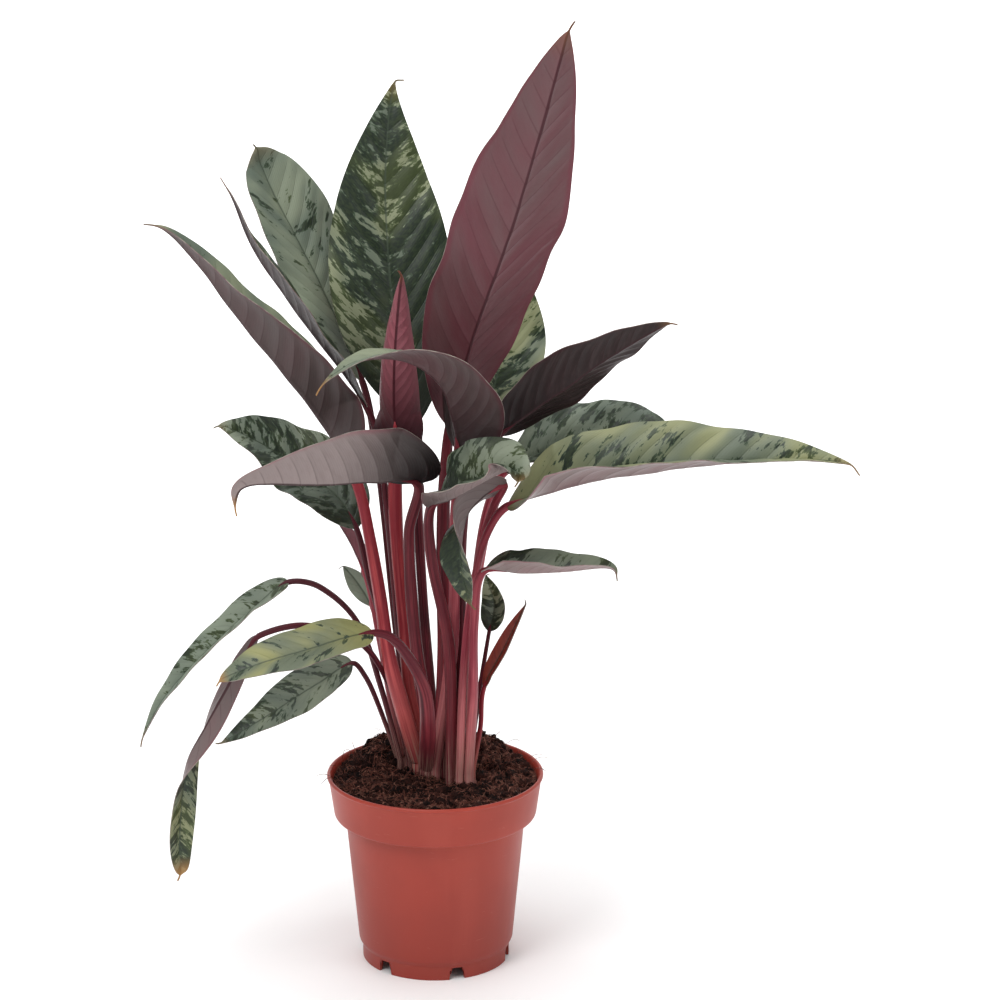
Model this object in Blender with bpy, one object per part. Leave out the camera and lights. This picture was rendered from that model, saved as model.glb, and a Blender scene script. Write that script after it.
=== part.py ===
"""A sword plant in a round nursery pot.

The pot stands on z = 0 with its axis on the z axis. It holds potting mix, and three crowns
sit in the mix. Each leaf is a stalk that seats on its crown and a blade at the stalk's end.
+X is to the right of the plant's front and -Y is the front.
"""

import math

import bmesh
import bpy
import numpy as np

# Driving dimensions, in metres.
RIM_DIAMETER = 0.120
POT_HEIGHT = 0.108
COLLAR_HEIGHT = 0.024
COLLAR_LOWER_DIAMETER = 0.112
BODY_UPPER_DIAMETER = 0.100
BODY_LOWER_DIAMETER = 0.086
FOOT_DIAMETER = 0.082
FOOT_HEIGHT = 0.008
CENTRE_FOOT_DIAMETER = 0.022
POT_WALL = 0.0015
BEAD_HEIGHT = 0.0022
BEAD_REACH = 0.0008

NOTCH_COUNT = 6
NOTCH_FIRST_ANGLE = math.radians(-72.5)
NOTCH_HEIGHT = 0.007
NOTCH_TOP_WIDTH = 0.005
NOTCH_FOOT_WIDTH = 0.008
DRAIN_HOLE_COUNT = 4
DRAIN_HOLE_DIAMETER = 0.009
DRAIN_CIRCLE_DIAMETER = 0.050

SOIL_BELOW_RIM = 0.0045
SOIL_RING_SHARES = (0.93, 0.85, 0.76, 0.66, 0.52, 0.38, 0.20)
MOUND_HEIGHT = 0.010
BACK_RISE = 0.003
CLUMP_ANGLES = (math.radians(133), math.radians(53))
CLUMP_CIRCLE = 0.74
CLUMP_SIZE = 0.26
TOUCH_GAP = 0.0003

STALK_FOOT_DIAMETER = 0.0044
STALK_SPACING = 0.0010
CROWN_SHOULDER = 0.0004
CROWN_SPACING = 0.0010
CROWN_ABOVE_SOIL = 0.003
CROWN_IN_SOIL = 0.014
CROWN_STRAIGHT = 0.006
STALK_RISER = 0.004

FOLIAGE_HEIGHT = 0.438
FOLIAGE_SPREAD = 0.390
BLADE_THICKNESS = 0.0010
BLADE_TIP_WIDTH = 0.0016
FOLD_START = 0.17
ROWS_TOWARDS_ENDS = -0.5

TURNED_STEPS = 48
ROUTE_STEPS = 12
STALK_STEPS = 8
BLADE_ROWS = 11
BLADE_COLUMNS = (-1, -0.55, 0, 0.55, 1)

# The middle crown's place, and the way the other two stand off from it.
MIDDLE_CROWN_PLACE = (0.0, 0.006)
LEFT_CROWN_DIRECTION = math.radians(141)
RIGHT_CROWN_DIRECTION = math.radians(-35)

# Each crown's leaves, with the angle in degrees where its ring starts. The first leaf grows
# from the crown's middle, and the others ring it anticlockwise.
CROWNS = {
    "middle": (30, ["level_left", "back_right", "tall_back", "rolled_young",
                    "front_left", "arching_front", "tall_front"]),
    "left": (0, ["short_left", "edgewise_left", "back_left", "tiny_left", "winged_left",
                 "under_left", "low_left", "hanging_left", "long_left"]),
    "right": (0, ["hanging_right", "red_lance", "small_right", "mid_right", "upper_right",
                  "folded_centre", "long_right", "low_right"]),
}

# Leaf points are on a grid that spans GRID_HEIGHT by GRID_SPREAD steps, so a step is one
# millimetre at the foliage sizes above. x and y are measured from the pot's axis and z from
# the soil level. stalk: the points between the crown and the blade. rib: the midrib, base to
# tip. width: across the widest place, in mm. fold: how far each half is lifted from flat at
# the base and at the tip, in degrees. face: the way the upper side looks at the base and at
# the tip. outline: small for a blade that is broad at its base, and small for a blade that is
# broad near its tip. thick: the stalk's diameter below the blade, in mm.
GRID_HEIGHT = 438
GRID_SPREAD = 390
LEAVES = {
    "tall_front": dict(
        stalk=[(6, 0, 78), (5, -8, 150), (7, -13, 190)],
        rib=[(9, -16, 208), (21, -32, 260), (43, -54, 329), (59, -68, 388), (70, -72, 430),
             (72, -71, 438)],
        width=64, fold=(12, 12), face=[(-0.3, 0.9, 0.2), (-0.3, 0.9, 0.3)], outline=(0.7, 0.85),
        thick=5),
    "tall_back": dict(
        stalk=[(-5, 22, 72), (-9, 28, 140), (-9, 32, 178)],
        rib=[(-10, 35, 194), (-22, 52, 250), (-27, 70, 309), (-26, 80, 348), (-22, 86, 376),
             (-18, 84, 380)],
        width=70, fold=(12, 12), face=[(0.1, -0.9, 0.4), (0.1, -0.9, 0.5)], outline=(0.9, 1.2),
        thick=5),
    "back_left": dict(
        stalk=[(-21, 38, 68), (-28, 46, 136), (-34, 50, 186)],
        rib=[(-40, 54, 214), (-63, 62, 267), (-82, 70, 303), (-96, 76, 332), (-98, 74, 345)],
        width=56, fold=(18, 18), face=[(0.5, -0.6, 0.6), (0.5, -0.6, 0.6)], outline=(0.8, 0.55),
        thick=4),
    "edgewise_left": dict(
        stalk=[(-19, 20, 72), (-25, 18, 143), (-30, 16, 190)],
        rib=[(-36, 14, 210), (-51, 10, 234), (-66, 6, 256), (-95, 0, 301), (-106, -4, 330),
             (-112, -6, 342)],
        width=38, fold=(18, 18), face=[(0.8, 0.2, 0.6), (0.8, 0.1, 0.5)], outline=(0.8, 1.2),
        thick=4),
    "long_left": dict(
        stalk=[(-18, 2, 43), (-25, 0, 73), (-29, -2, 105), (-35, -8, 146), (-40, -11, 172)],
        rib=[(-48, -14, 191), (-67, -26, 225), (-88, -36, 255), (-108, -45, 285),
             (-126, -50, 311), (-138, -53, 324), (-149, -54, 329)],
        width=54, fold=(62, 38), face=[(0.62, 0.3, 0.7), (0.25, -0.2, 0.9)], outline=(0.3, 1.0),
        thick=6),
    "rolled_young": dict(
        stalk=[(-14, 9, 49), (-17, 7, 91), (-20, 2, 133), (-21, -1, 168)],
        rib=[(-20, -4, 194), (-21, -6, 220), (-20, -9, 249), (-18, -11, 274), (-16, -12, 293)],
        width=31, fold=(38, 38), face=[(0.3, 0.95, 0.1), (0.3, 0.95, 0.1)], outline=(0.15, 0.8),
        thick=8),
    "arching_front": dict(
        stalk=[(10, -9, 82), (12, -24, 155)],
        rib=[(14, -35, 199), (12, -48, 219), (7, -62, 240), (-3, -75, 255), (-19, -84, 264),
             (-37, -92, 264), (-51, -97, 257), (-59, -98, 249)],
        width=60, fold=(34, 6), face=[(0.8, 0.6, 0.1), (-0.5, -0.2, 0.8)], outline=(0.6, 1.3),
        thick=5),
    "level_left": dict(
        stalk=[(-10, -6, 81), (-13, -22, 150)],
        rib=[(-8, -36, 182), (-31, -56, 189), (-58, -74, 193), (-84, -84, 196), (-99, -88, 194),
             (-103, -88, 180)],
        width=66, fold=(48, 44), face=[(0.0, 0.55, 0.85), (-0.3, 0.45, 0.8)], outline=(0.45, 1.2),
        thick=5),
    "short_left": dict(
        stalk=[(-26, 24, 70), (-36, 23, 109)],
        rib=[(-43, 22, 139), (-53, 28, 155), (-72, 34, 168), (-92, 34, 182), (-111, 30, 193),
             (-121, 28, 197)],
        width=50, fold=(14, 14), face=[(0.2, -0.6, 0.8), (0.1, -0.5, 0.9)], outline=(0.7, 0.9),
        thick=3),
    "folded_centre": dict(
        stalk=[(8, -18, 84), (-1, -34, 140)],
        rib=[(-1, -47, 172), (10, -61, 181), (25, -69, 192), (39, -72, 200), (45, -78, 200),
             (46, -80, 194)],
        width=48, fold=(46, 40), face=[(-0.1, -0.3, 0.95), (0.1, -0.45, 0.9)], outline=(0.95, 0.8),
        thick=5),
    "upper_right": dict(
        stalk=[(14, 3, 79), (16, -4, 149), (22, -6, 184)],
        rib=[(35, -6, 200), (52, -12, 215), (71, -17, 230), (89, -20, 244), (108, -23, 257),
             (123, -24, 266), (130, -24, 268)],
        width=46, fold=(16, 16), face=[(-0.3, 0.8, 0.5), (-0.3, 0.7, 0.6)], outline=(0.7, 1.0),
        thick=4),
    "back_right": dict(
        stalk=[(10, 20, 70), (14, 32, 138), (20, 40, 172)],
        rib=[(27, 45, 192), (37, 55, 230), (40, 62, 262), (40, 64, 290)],
        width=50, fold=(12, 12), face=[(-0.1, -0.9, 0.4), (-0.1, -0.9, 0.4)], outline=(0.7, 1.0),
        thick=4),
    "mid_right": dict(
        stalk=[(19, 12, 74), (24, 15, 129), (30, 16, 158)],
        rib=[(39, 14, 174), (64, 10, 188), (90, 4, 197), (117, -4, 202), (127, -8, 198),
             (128, -8, 192)],
        width=46, fold=(30, 30), face=[(-0.2, -0.4, 0.9), (0.2, -0.4, 0.9)], outline=(0.7, 0.9),
        thick=4),
    "long_right": dict(
        stalk=[(17, -20, 86), (24, -34, 138), (31, -40, 160)],
        rib=[(40, -44, 172), (68, -52, 184), (95, -60, 193), (153, -66, 202), (193, -70, 205),
             (219, -72, 203), (225, -72, 199)],
        width=54, fold=(58, 30), face=[(-0.2, -0.3, 0.95), (0.0, -0.4, 0.9)], outline=(0.55, 1.05),
        thick=4),
    "hanging_right": dict(
        stalk=[(19, -6, 80), (26, -20, 140), (33, -36, 170)],
        rib=[(38, -45, 184), (28, -49, 180), (18, -52, 169), (15, -57, 152), (17, -60, 134),
             (21, -58, 119)],
        width=32, fold=(20, 20), face=[(-0.2, 0.8, 0.6), (-0.5, -0.8, 0.2)], outline=(0.5, 0.9),
        thick=4),
    "low_right": dict(
        stalk=[(21, -18, 56), (22, -34, 105)],
        rib=[(27, -42, 135), (47, -48, 136), (68, -53, 138), (88, -55, 141), (96, -55, 140),
             (99, -55, 135)],
        width=27, fold=(56, 34), face=[(-0.1, -0.05, 1.0), (0.1, -0.2, 1.0)], outline=(0.45, 0.8),
        thick=4),
    "red_lance": dict(
        stalk=[(25, -4, 32)],
        rib=[(27, -5, 55), (39, -6, 80), (51, -9, 107)],
        width=11, fold=(30, 30), face=[(-0.6, -0.6, 0.4), (-0.6, -0.6, 0.4)], outline=(0.7, 1.0),
        thick=2),
    "small_right": dict(
        stalk=[(24, 5, 46)],
        rib=[(30, 8, 84), (33, 8, 99), (28, 6, 118)],
        width=15, fold=(20, 20), face=[(-0.3, -0.9, 0.3), (-0.3, -0.9, 0.3)], outline=(0.6, 0.9),
        thick=2),
    "low_left": dict(
        stalk=[(-30, 14, 50), (-42, 0, 92), (-62, -14, 117)],
        rib=[(-79, -18, 121), (-94, -20, 110), (-121, -18, 84), (-148, -12, 52), (-163, -8, 24)],
        width=22, fold=(30, 30), face=[(-0.2, -0.3, 0.9), (-0.8, -0.5, 0.4)], outline=(0.35, 0.9),
        thick=3),
    "hanging_left": dict(
        stalk=[(-25, 9, 50), (-42, -14, 86), (-70, -36, 102)],
        rib=[(-94, -42, 98), (-101, -46, 89), (-111, -50, 71), (-123, -51, 49), (-133, -51, 29),
             (-137, -50, 7), (-139, -49, -20), (-138, -48, -40)],
        width=18, fold=(26, 26), face=[(0.3, 0.9, -0.3), (0.3, -0.9, 0.0)], outline=(0.5, 0.35),
        thick=3),
    "front_left": dict(
        stalk=[(-3, -28, 44), (-5, -37, 68), (-13, -47, 88), (-22, -53, 101)],
        rib=[(-32, -57, 105), (-49, -65, 104), (-70, -71, 99), (-94, -76, 93), (-115, -77, 84)],
        width=30, fold=(14, 14), face=[(0.0, -0.5, 0.9), (-0.3, -0.5, 0.9)], outline=(0.45, 0.65),
        thick=4),
    "under_left": dict(
        stalk=[(-32, 20, 38), (-39, 20, 54)],
        rib=[(-46, 18, 62), (-64, 14, 52), (-86, 8, 39), (-105, 4, 28), (-121, 2, 19)],
        width=30, fold=(12, 12), face=[(-0.3, -0.6, 0.8), (-0.4, -0.6, 0.8)], outline=(0.5, 1.0),
        thick=3),
    "tiny_left": dict(
        stalk=[(-28, 40, 55)],
        rib=[(-36, 42, 87), (-44, 44, 101), (-52, 44, 111)],
        width=12, fold=(14, 14), face=[(-0.3, -0.8, 0.4), (-0.3, -0.8, 0.4)], outline=(0.8, 0.9),
        thick=2),
    "winged_left": dict(
        stalk=[(-31, 32, 70)],
        rib=[(-38, 34, 106), (-48, 40, 127), (-58, 44, 142)],
        width=16, fold=(26, 26), face=[(0.4, 0.6, 0.6), (0.4, 0.6, 0.6)], outline=(0.5, 1.0),
        thick=3),
}


def clear_scene():
    for thing in list(bpy.data.objects):
        bpy.data.objects.remove(thing, do_unlink=True)


def plain_material(name, colour, roughness):
    material = bpy.data.materials.new(name)
    material.use_nodes = True
    shader = material.node_tree.nodes["Principled BSDF"]
    shader.inputs["Base Color"].default_value = (*colour, 1)
    shader.inputs["Roughness"].default_value = roughness
    shader.inputs["Metallic"].default_value = 0
    return material


def add_object(name, data, material=None):
    thing = bpy.data.objects.new(name, data)
    bpy.context.scene.collection.objects.link(thing)
    if material:
        data.materials.append(material)
    return thing


def hide_cutter(thing):
    thing.hide_render = True
    thing.display_type = "WIRE"


def mesh_of(name, points, faces=(), edges=()):
    mesh = bpy.data.meshes.new(name)
    mesh.from_pydata([tuple(map(float, point)) for point in points], edges, faces)
    return mesh


def turned(name, profile, material=None):
    """A closed profile of (radius, height) from the axis round to the axis, turned about z."""
    points = [(radius, 0, height) for radius, height in profile]
    mesh = mesh_of(name, points, edges=[(i, i + 1) for i in range(len(points) - 1)])
    thing = add_object(name, mesh, material)
    screw = thing.modifiers.new("turn", "SCREW")
    screw.steps = TURNED_STEPS
    screw.render_steps = TURNED_STEPS
    screw.use_merge_vertices = True
    screw.merge_threshold = 0.00001
    screw.use_smooth_shade = True
    return thing


def cut(thing, cutter):
    boolean = thing.modifiers.new("cut " + cutter.name, "BOOLEAN")
    boolean.operation = "DIFFERENCE"
    boolean.solver = "EXACT"
    boolean.object = cutter
    hide_cutter(cutter)


UP = np.array([0.0, 0.0, 1.0])


def heading(angle):
    """The level unit vector at an angle from +X."""
    return np.array([math.cos(angle), math.sin(angle), 0.0])


# ---------------------------------------------------------------- pot and potting mix

COLLAR_FOOT = POT_HEIGHT - COLLAR_HEIGHT
FLOOR_TOP = FOOT_HEIGHT + POT_WALL
SOIL_LEVEL = POT_HEIGHT - SOIL_BELOW_RIM
EDGE_ROUND = POT_WALL


def collar_radius(height):
    """The collar's outer radius, which widens evenly from its lower edge to the bead."""
    share = (height - COLLAR_FOOT) / COLLAR_HEIGHT
    lower = COLLAR_LOWER_DIAMETER / 2
    return lower + share * (RIM_DIAMETER / 2 - BEAD_REACH - lower)


def inner_profile(gap=0.0):
    """The hollow's wall from the floor up to the collar's top, moved inwards by the gap."""
    inset = POT_WALL + gap
    return [
        (BODY_LOWER_DIAMETER / 2 - inset, FLOOR_TOP + gap),
        (BODY_UPPER_DIAMETER / 2 - inset, COLLAR_FOOT + POT_WALL + gap),
        (COLLAR_LOWER_DIAMETER / 2 - inset, COLLAR_FOOT + POT_WALL + EDGE_ROUND + gap),
    ]


def make_pot():
    """A single moulded wall: foot, floor, tapered body, and a collar that steps out."""
    rim = RIM_DIAMETER / 2
    bead_foot = POT_HEIGHT - BEAD_HEIGHT
    profile = [(0, FLOOR_TOP), *inner_profile()]
    profile += [
        (collar_radius(bead_foot) - POT_WALL, bead_foot),
        (rim - BEAD_REACH - POT_WALL / 2, POT_HEIGHT),
        (rim - BEAD_REACH / 2, POT_HEIGHT),
        (rim, POT_HEIGHT - BEAD_HEIGHT / 3),
        (rim, bead_foot + BEAD_HEIGHT / 3),
        (collar_radius(bead_foot), bead_foot),
        (collar_radius(COLLAR_FOOT + EDGE_ROUND), COLLAR_FOOT + EDGE_ROUND),
        (COLLAR_LOWER_DIAMETER / 2 - EDGE_ROUND / 2, COLLAR_FOOT),
        (BODY_UPPER_DIAMETER / 2, COLLAR_FOOT),
        (BODY_LOWER_DIAMETER / 2, FLOOR_TOP + POT_WALL),
        (FOOT_DIAMETER / 2, FOOT_HEIGHT),
        (FOOT_DIAMETER / 2, 0),
        (FOOT_DIAMETER / 2 - POT_WALL, 0),
        (FOOT_DIAMETER / 2 - POT_WALL, FOOT_HEIGHT),
        (CENTRE_FOOT_DIAMETER / 2, FOOT_HEIGHT),
        (CENTRE_FOOT_DIAMETER / 2, 0),
        (0, 0),
    ]
    pot = turned("nursery_pot", profile, plain_material("pot_plastic", (0.36, 0.075, 0.055), 0.42))
    cut(pot, notch_cutters())
    cut(pot, drain_cutters())


def notch_cutters():
    """Wedges that open the foot ring, wider at the floor than at the top."""
    inner = FOOT_DIAMETER / 2 - 3 * POT_WALL
    outer = FOOT_DIAMETER / 2 + 2 * POT_WALL
    foot, top = NOTCH_FOOT_WIDTH / 2, NOTCH_TOP_WIDTH / 2
    outline = [(foot, -POT_WALL), (top, NOTCH_HEIGHT), (-top, NOTCH_HEIGHT), (-foot, -POT_WALL)]
    builder = bmesh.new()
    for index in range(NOTCH_COUNT):
        angle = NOTCH_FIRST_ANGLE + index * math.tau / NOTCH_COUNT
        out = heading(angle)
        across = heading(angle + math.pi / 2)
        near, far = [
            [builder.verts.new(out * reach + across * side + UP * height) for side, height in outline]
            for reach in (inner, outer)
        ]
        for one, two in zip(range(4), (1, 2, 3, 0)):
            builder.faces.new((near[one], near[two], far[two], far[one]))
        builder.faces.new(near[::-1])
        builder.faces.new(far)
    bmesh.ops.recalc_face_normals(builder, faces=builder.faces)
    mesh = bpy.data.meshes.new("notches")
    builder.to_mesh(mesh)
    return add_object("notches", mesh)


def drain_cutters():
    """Round holes through the floor, between the centre foot and the foot ring."""
    builder = bmesh.new()
    for index in range(DRAIN_HOLE_COUNT):
        angle = (index + 0.5) * math.tau / DRAIN_HOLE_COUNT
        made = bmesh.ops.create_cone(
            builder, cap_ends=True, segments=16, depth=4 * POT_WALL,
            radius1=DRAIN_HOLE_DIAMETER / 2, radius2=DRAIN_HOLE_DIAMETER / 2,
        )
        place = heading(angle) * DRAIN_CIRCLE_DIAMETER / 2 + UP * (FOOT_HEIGHT + POT_WALL / 2)
        bmesh.ops.translate(builder, verts=made["verts"], vec=place)
    mesh = bpy.data.meshes.new("drain_holes")
    builder.to_mesh(mesh)
    return add_object("drain_holes", mesh)


def soil_height(x, y):
    """Level at the front, with two round clumps near the back of the rim and a rise between."""
    reach = RIM_DIAMETER / 2
    clumps = 0
    for angle in CLUMP_ANGLES:
        centre = heading(angle) * CLUMP_CIRCLE * reach
        apart = np.hypot(x - centre[0], y - centre[1])
        clumps = clumps + np.exp(-((apart / (CLUMP_SIZE * reach)) ** 2))
    return MOUND_HEIGHT * clumps + BACK_RISE * np.clip(y / reach, 0, 1)


def make_soil(crowns):
    """The mix fills the hollow: rings up the wall, rings across the rising top, and two poles."""
    steps = TURNED_STEPS
    top_radius = collar_radius(SOIL_LEVEL) - POT_WALL - TOUCH_GAP
    angles = np.arange(steps) * math.tau / steps
    circle = np.stack([np.cos(angles), np.sin(angles)], axis=1)
    rings = [(radius, np.full(steps, height)) for radius, height in inner_profile(TOUCH_GAP)]
    rings.append((top_radius, np.full(steps, SOIL_LEVEL)))
    for share in SOIL_RING_SHARES:
        radius = share * top_radius
        rings.append((radius, SOIL_LEVEL + soil_height(*(radius * circle).T)))
    points = [np.column_stack([radius * circle, heights]) for radius, heights in rings]
    points.append([(0, 0, SOIL_LEVEL), (0, 0, FLOOR_TOP + TOUCH_GAP)])
    top, bottom = len(rings) * steps, len(rings) * steps + 1
    faces = []
    for step in range(steps):
        after = (step + 1) % steps
        for low in range(0, (len(rings) - 1) * steps, steps):
            high = low + steps
            faces.append((low + step, low + after, high + after, high + step))
        faces.append((top - steps + step, top - steps + after, top))
        faces.append((after, step, bottom))
    mesh = mesh_of("potting_mix", np.concatenate(points), faces)
    soil = add_object("potting_mix", mesh, plain_material("coir_mix", (0.02, 0.008, 0.006), 0.95))
    for crown in crowns.values():
        profile = crown_profile(crown, TOUCH_GAP, SOIL_LEVEL + 4 * MOUND_HEIGHT)
        pocket = turned(crown["name"] + "_pocket", profile)
        pocket.location = crown["centre"]
        cut(soil, pocket)


# ---------------------------------------------------------------- crowns

STALK_PITCH = STALK_FOOT_DIAMETER + STALK_SPACING
CROWN_TOP = SOIL_LEVEL + CROWN_ABOVE_SOIL


def lay_out_crowns():
    """Each crown's ring is as wide as its stalks need, and the crowns stand clear of each other."""
    crowns = {}
    for name, (start, leaves) in CROWNS.items():
        ring = STALK_PITCH / (2 * math.sin(math.pi / (len(leaves) - 1)))
        radius = ring + STALK_FOOT_DIAMETER / 2 + CROWN_SHOULDER
        crowns[name] = dict(name=name + "_crown", ring=ring, radius=radius, leaves=leaves)
        crowns[name]["start"] = math.radians(start)
    middle = np.array([*MIDDLE_CROWN_PLACE, 0])
    for name, direction in (("left", LEFT_CROWN_DIRECTION), ("right", RIGHT_CROWN_DIRECTION)):
        apart = crowns["middle"]["radius"] + crowns[name]["radius"] + CROWN_SPACING
        crowns[name]["centre"] = middle + apart * heading(direction)
    crowns["middle"]["centre"] = middle
    return crowns


def crown_profile(crown, gap=0.0, top=CROWN_TOP):
    """A short plug with a flat top that the stalks stand on, rounded in below its straight wall."""
    radius = crown["radius"] + gap
    straight = SOIL_LEVEL - CROWN_STRAIGHT
    drop = CROWN_IN_SOIL + gap - CROWN_STRAIGHT
    turns = [math.radians(angle) for angle in (0, 30, 60)]
    round_end = [(radius * math.cos(turn), straight - drop * math.sin(turn)) for turn in turns]
    return [(0, top), (radius, top), *round_end, (0, straight - drop)]


def make_crown(crown):
    material = plain_material(crown["name"] + "_tissue", (0.30, 0.13, 0.12), 0.6)
    plug = turned(crown["name"], crown_profile(crown), material)
    plug.location = crown["centre"]


def stalk_feet(crowns):
    """Where each leaf's stalk stands: one in the middle of its crown, the others on the ring."""
    feet = {}
    for crown in crowns.values():
        middle, *ring = crown["leaves"]
        feet[middle] = crown["centre"]
        for index, leaf in enumerate(ring):
            angle = crown["start"] + index * math.tau / len(ring)
            feet[leaf] = crown["centre"] + crown["ring"] * heading(angle)
    return feet


# ---------------------------------------------------------------- leaves

def placed(points):
    """Grid points as places in metres."""
    across = FOLIAGE_SPREAD / GRID_SPREAD
    up = FOLIAGE_HEIGHT / GRID_HEIGHT
    return [np.array([x * across, y * across, SOIL_LEVEL + z * up]) for x, y, z in points]


def smooth_route(points):
    """A cubic through the points whose slope at each is the line between its neighbours."""
    points = np.array(points)
    spans = np.linalg.norm(np.diff(points, axis=0), axis=1)
    knots = np.concatenate([[0], np.cumsum(spans)])
    slopes = np.empty_like(points)
    slopes[1:-1] = (points[2:] - points[:-2]) / (knots[2:] - knots[:-2])[:, None]
    slopes[0] = (points[1] - points[0]) / spans[0]
    slopes[-1] = (points[-1] - points[-2]) / spans[-1]
    s = np.linspace(0, 1, ROUTE_STEPS, endpoint=False)[:, None]
    runs = []
    for index, span in enumerate(spans):
        start, end = points[index], points[index + 1]
        first, last = slopes[index] * span, slopes[index + 1] * span
        runs.append(
            (2 * s**3 - 3 * s**2 + 1) * start + (s**3 - 2 * s**2 + s) * first
            + (3 * s**2 - 2 * s**3) * end + (s**3 - s**2) * last
        )
    return np.concatenate([*runs, points[-1:]])


def along(route, distances):
    """Points and unit tangents of the route at distances from its start."""
    steps = np.linalg.norm(np.diff(route, axis=0), axis=1)
    lengths = np.concatenate([[0], np.cumsum(steps)])
    slopes = np.gradient(route, lengths, axis=0)
    places = np.stack([np.interp(distances, lengths, route[:, k]) for k in range(3)], axis=1)
    tangents = np.stack([np.interp(distances, lengths, slopes[:, k]) for k in range(3)], axis=1)
    return places, tangents / np.linalg.norm(tangents, axis=1)[:, None]


def leaf_route(foot, leaf):
    """The whole leaf's centre line, and the distances along it of the blade's base and tip."""
    start = foot + UP * (CROWN_TOP + TOUCH_GAP)
    lower = [start, start + UP * STALK_RISER, *placed(leaf["stalk"])]
    route = smooth_route([*lower, *placed(leaf["rib"])])
    steps = np.linalg.norm(np.diff(route, axis=0), axis=1)
    lengths = np.concatenate([[0], np.cumsum(steps)])
    return route, lengths[ROUTE_STEPS * len(lower)], lengths[-1]


def make_stalk(name, leaf, route, base):
    """A round stalk, thinner towards the blade, closed at both ends."""
    end = base - TOUCH_GAP
    between = np.linspace(0, end, STALK_STEPS)[1:-1]
    distances = np.array([0, STALK_RISER, *between, end - STALK_RISER, end])
    places, tangents = along(route, distances)
    places[1] = places[0] + UP * STALK_RISER
    places[-2] = places[-1] - tangents[-1] * STALK_RISER
    curve = bpy.data.curves.new(name + "_stalk", "CURVE")
    curve.dimensions = "3D"
    curve.bevel_depth = STALK_FOOT_DIAMETER / 2
    curve.bevel_resolution = 2
    curve.use_fill_caps = True
    spline = curve.splines.new("POLY")
    spline.points.add(len(places) - 1)
    slim = leaf["thick"] * 0.001 / STALK_FOOT_DIAMETER
    for point, place, share in zip(spline.points, places, distances / base):
        point.co = (*place, 1)
        point.radius = 1 + (slim - 1) * share
    spline.use_smooth = True
    skin = plain_material(name + "_stalk_skin", (0.32, 0.06, 0.07), 0.45)
    add_object(name + "_stalk", curve, skin)


def blade_half_width(t, leaf):
    """Lance shaped: a power of t up from the base and a power of 1 - t down to the tip."""
    rise, fall = leaf["outline"]
    peak = rise / (rise + fall)
    shape = (t / peak) ** rise * ((1 - t) / (1 - peak)) ** fall
    ends = leaf["thick"] * 0.0005 * (1 - t) + BLADE_TIP_WIDTH / 2 * t
    return np.maximum(leaf["width"] * 0.0005 * shape, ends)


def make_blade(name, leaf, route, base, tip):
    """A sheet on both sides of the midrib, folded up along it, thickened to a closed leaf."""
    t = np.linspace(0, 1, BLADE_ROWS)
    t = t + (t - (1 - np.cos(math.pi * t)) / 2) * ROWS_TOWARDS_ENDS
    places, tangents = along(route, base + TOUCH_GAP + t * (tip - base - TOUCH_GAP))
    face = np.outer(1 - t, leaf["face"][0]) + np.outer(t, leaf["face"][1])
    side = np.cross(tangents, face)
    side /= np.linalg.norm(side, axis=1)[:, None]
    up = np.cross(side, tangents)
    columns = np.array(BLADE_COLUMNS)
    fold = np.radians(np.interp(t, (0, 1), leaf["fold"])) * np.minimum(1, t / FOLD_START)
    width = blade_half_width(t, leaf)
    reach = np.outer(width * np.cos(fold), columns)
    lift = np.outer(width * np.sin(fold), np.abs(columns))
    grid = places[:, None] + reach[..., None] * side[:, None] + lift[..., None] * up[:, None]
    across = len(columns)
    corners = [row * across + column for row in range(BLADE_ROWS - 1) for column in range(across - 1)]
    faces = [(corner, corner + 1, corner + across + 1, corner + across) for corner in corners]
    mesh = mesh_of(name + "_blade", grid.reshape(-1, 3), faces)
    mesh.shade_smooth()
    skin = plain_material(name + "_blade_skin", leaf_colour(leaf), 0.5)
    thicken = add_object(name + "_blade", mesh, skin).modifiers.new("thickness", "SOLIDIFY")
    thicken.thickness = BLADE_THICKNESS
    thicken.offset = 0


def leaf_colour(leaf):
    """Mauve where a leaf turns its underside to the front, and green elsewhere."""
    away = leaf["face"][0][1] > 0
    return (0.20, 0.09, 0.11) if away else (0.14, 0.22, 0.10)


clear_scene()
crowns = lay_out_crowns()
make_pot()
make_soil(crowns)
for crown in crowns.values():
    make_crown(crown)
for name, foot in stalk_feet(crowns).items():
    route, base, tip = leaf_route(foot, LEAVES[name])
    make_stalk(name, LEAVES[name], route, base)
    make_blade(name, LEAVES[name], route, base, tip)
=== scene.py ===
"""A sword plant in its nursery pot: the looks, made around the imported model."""

import math

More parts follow.
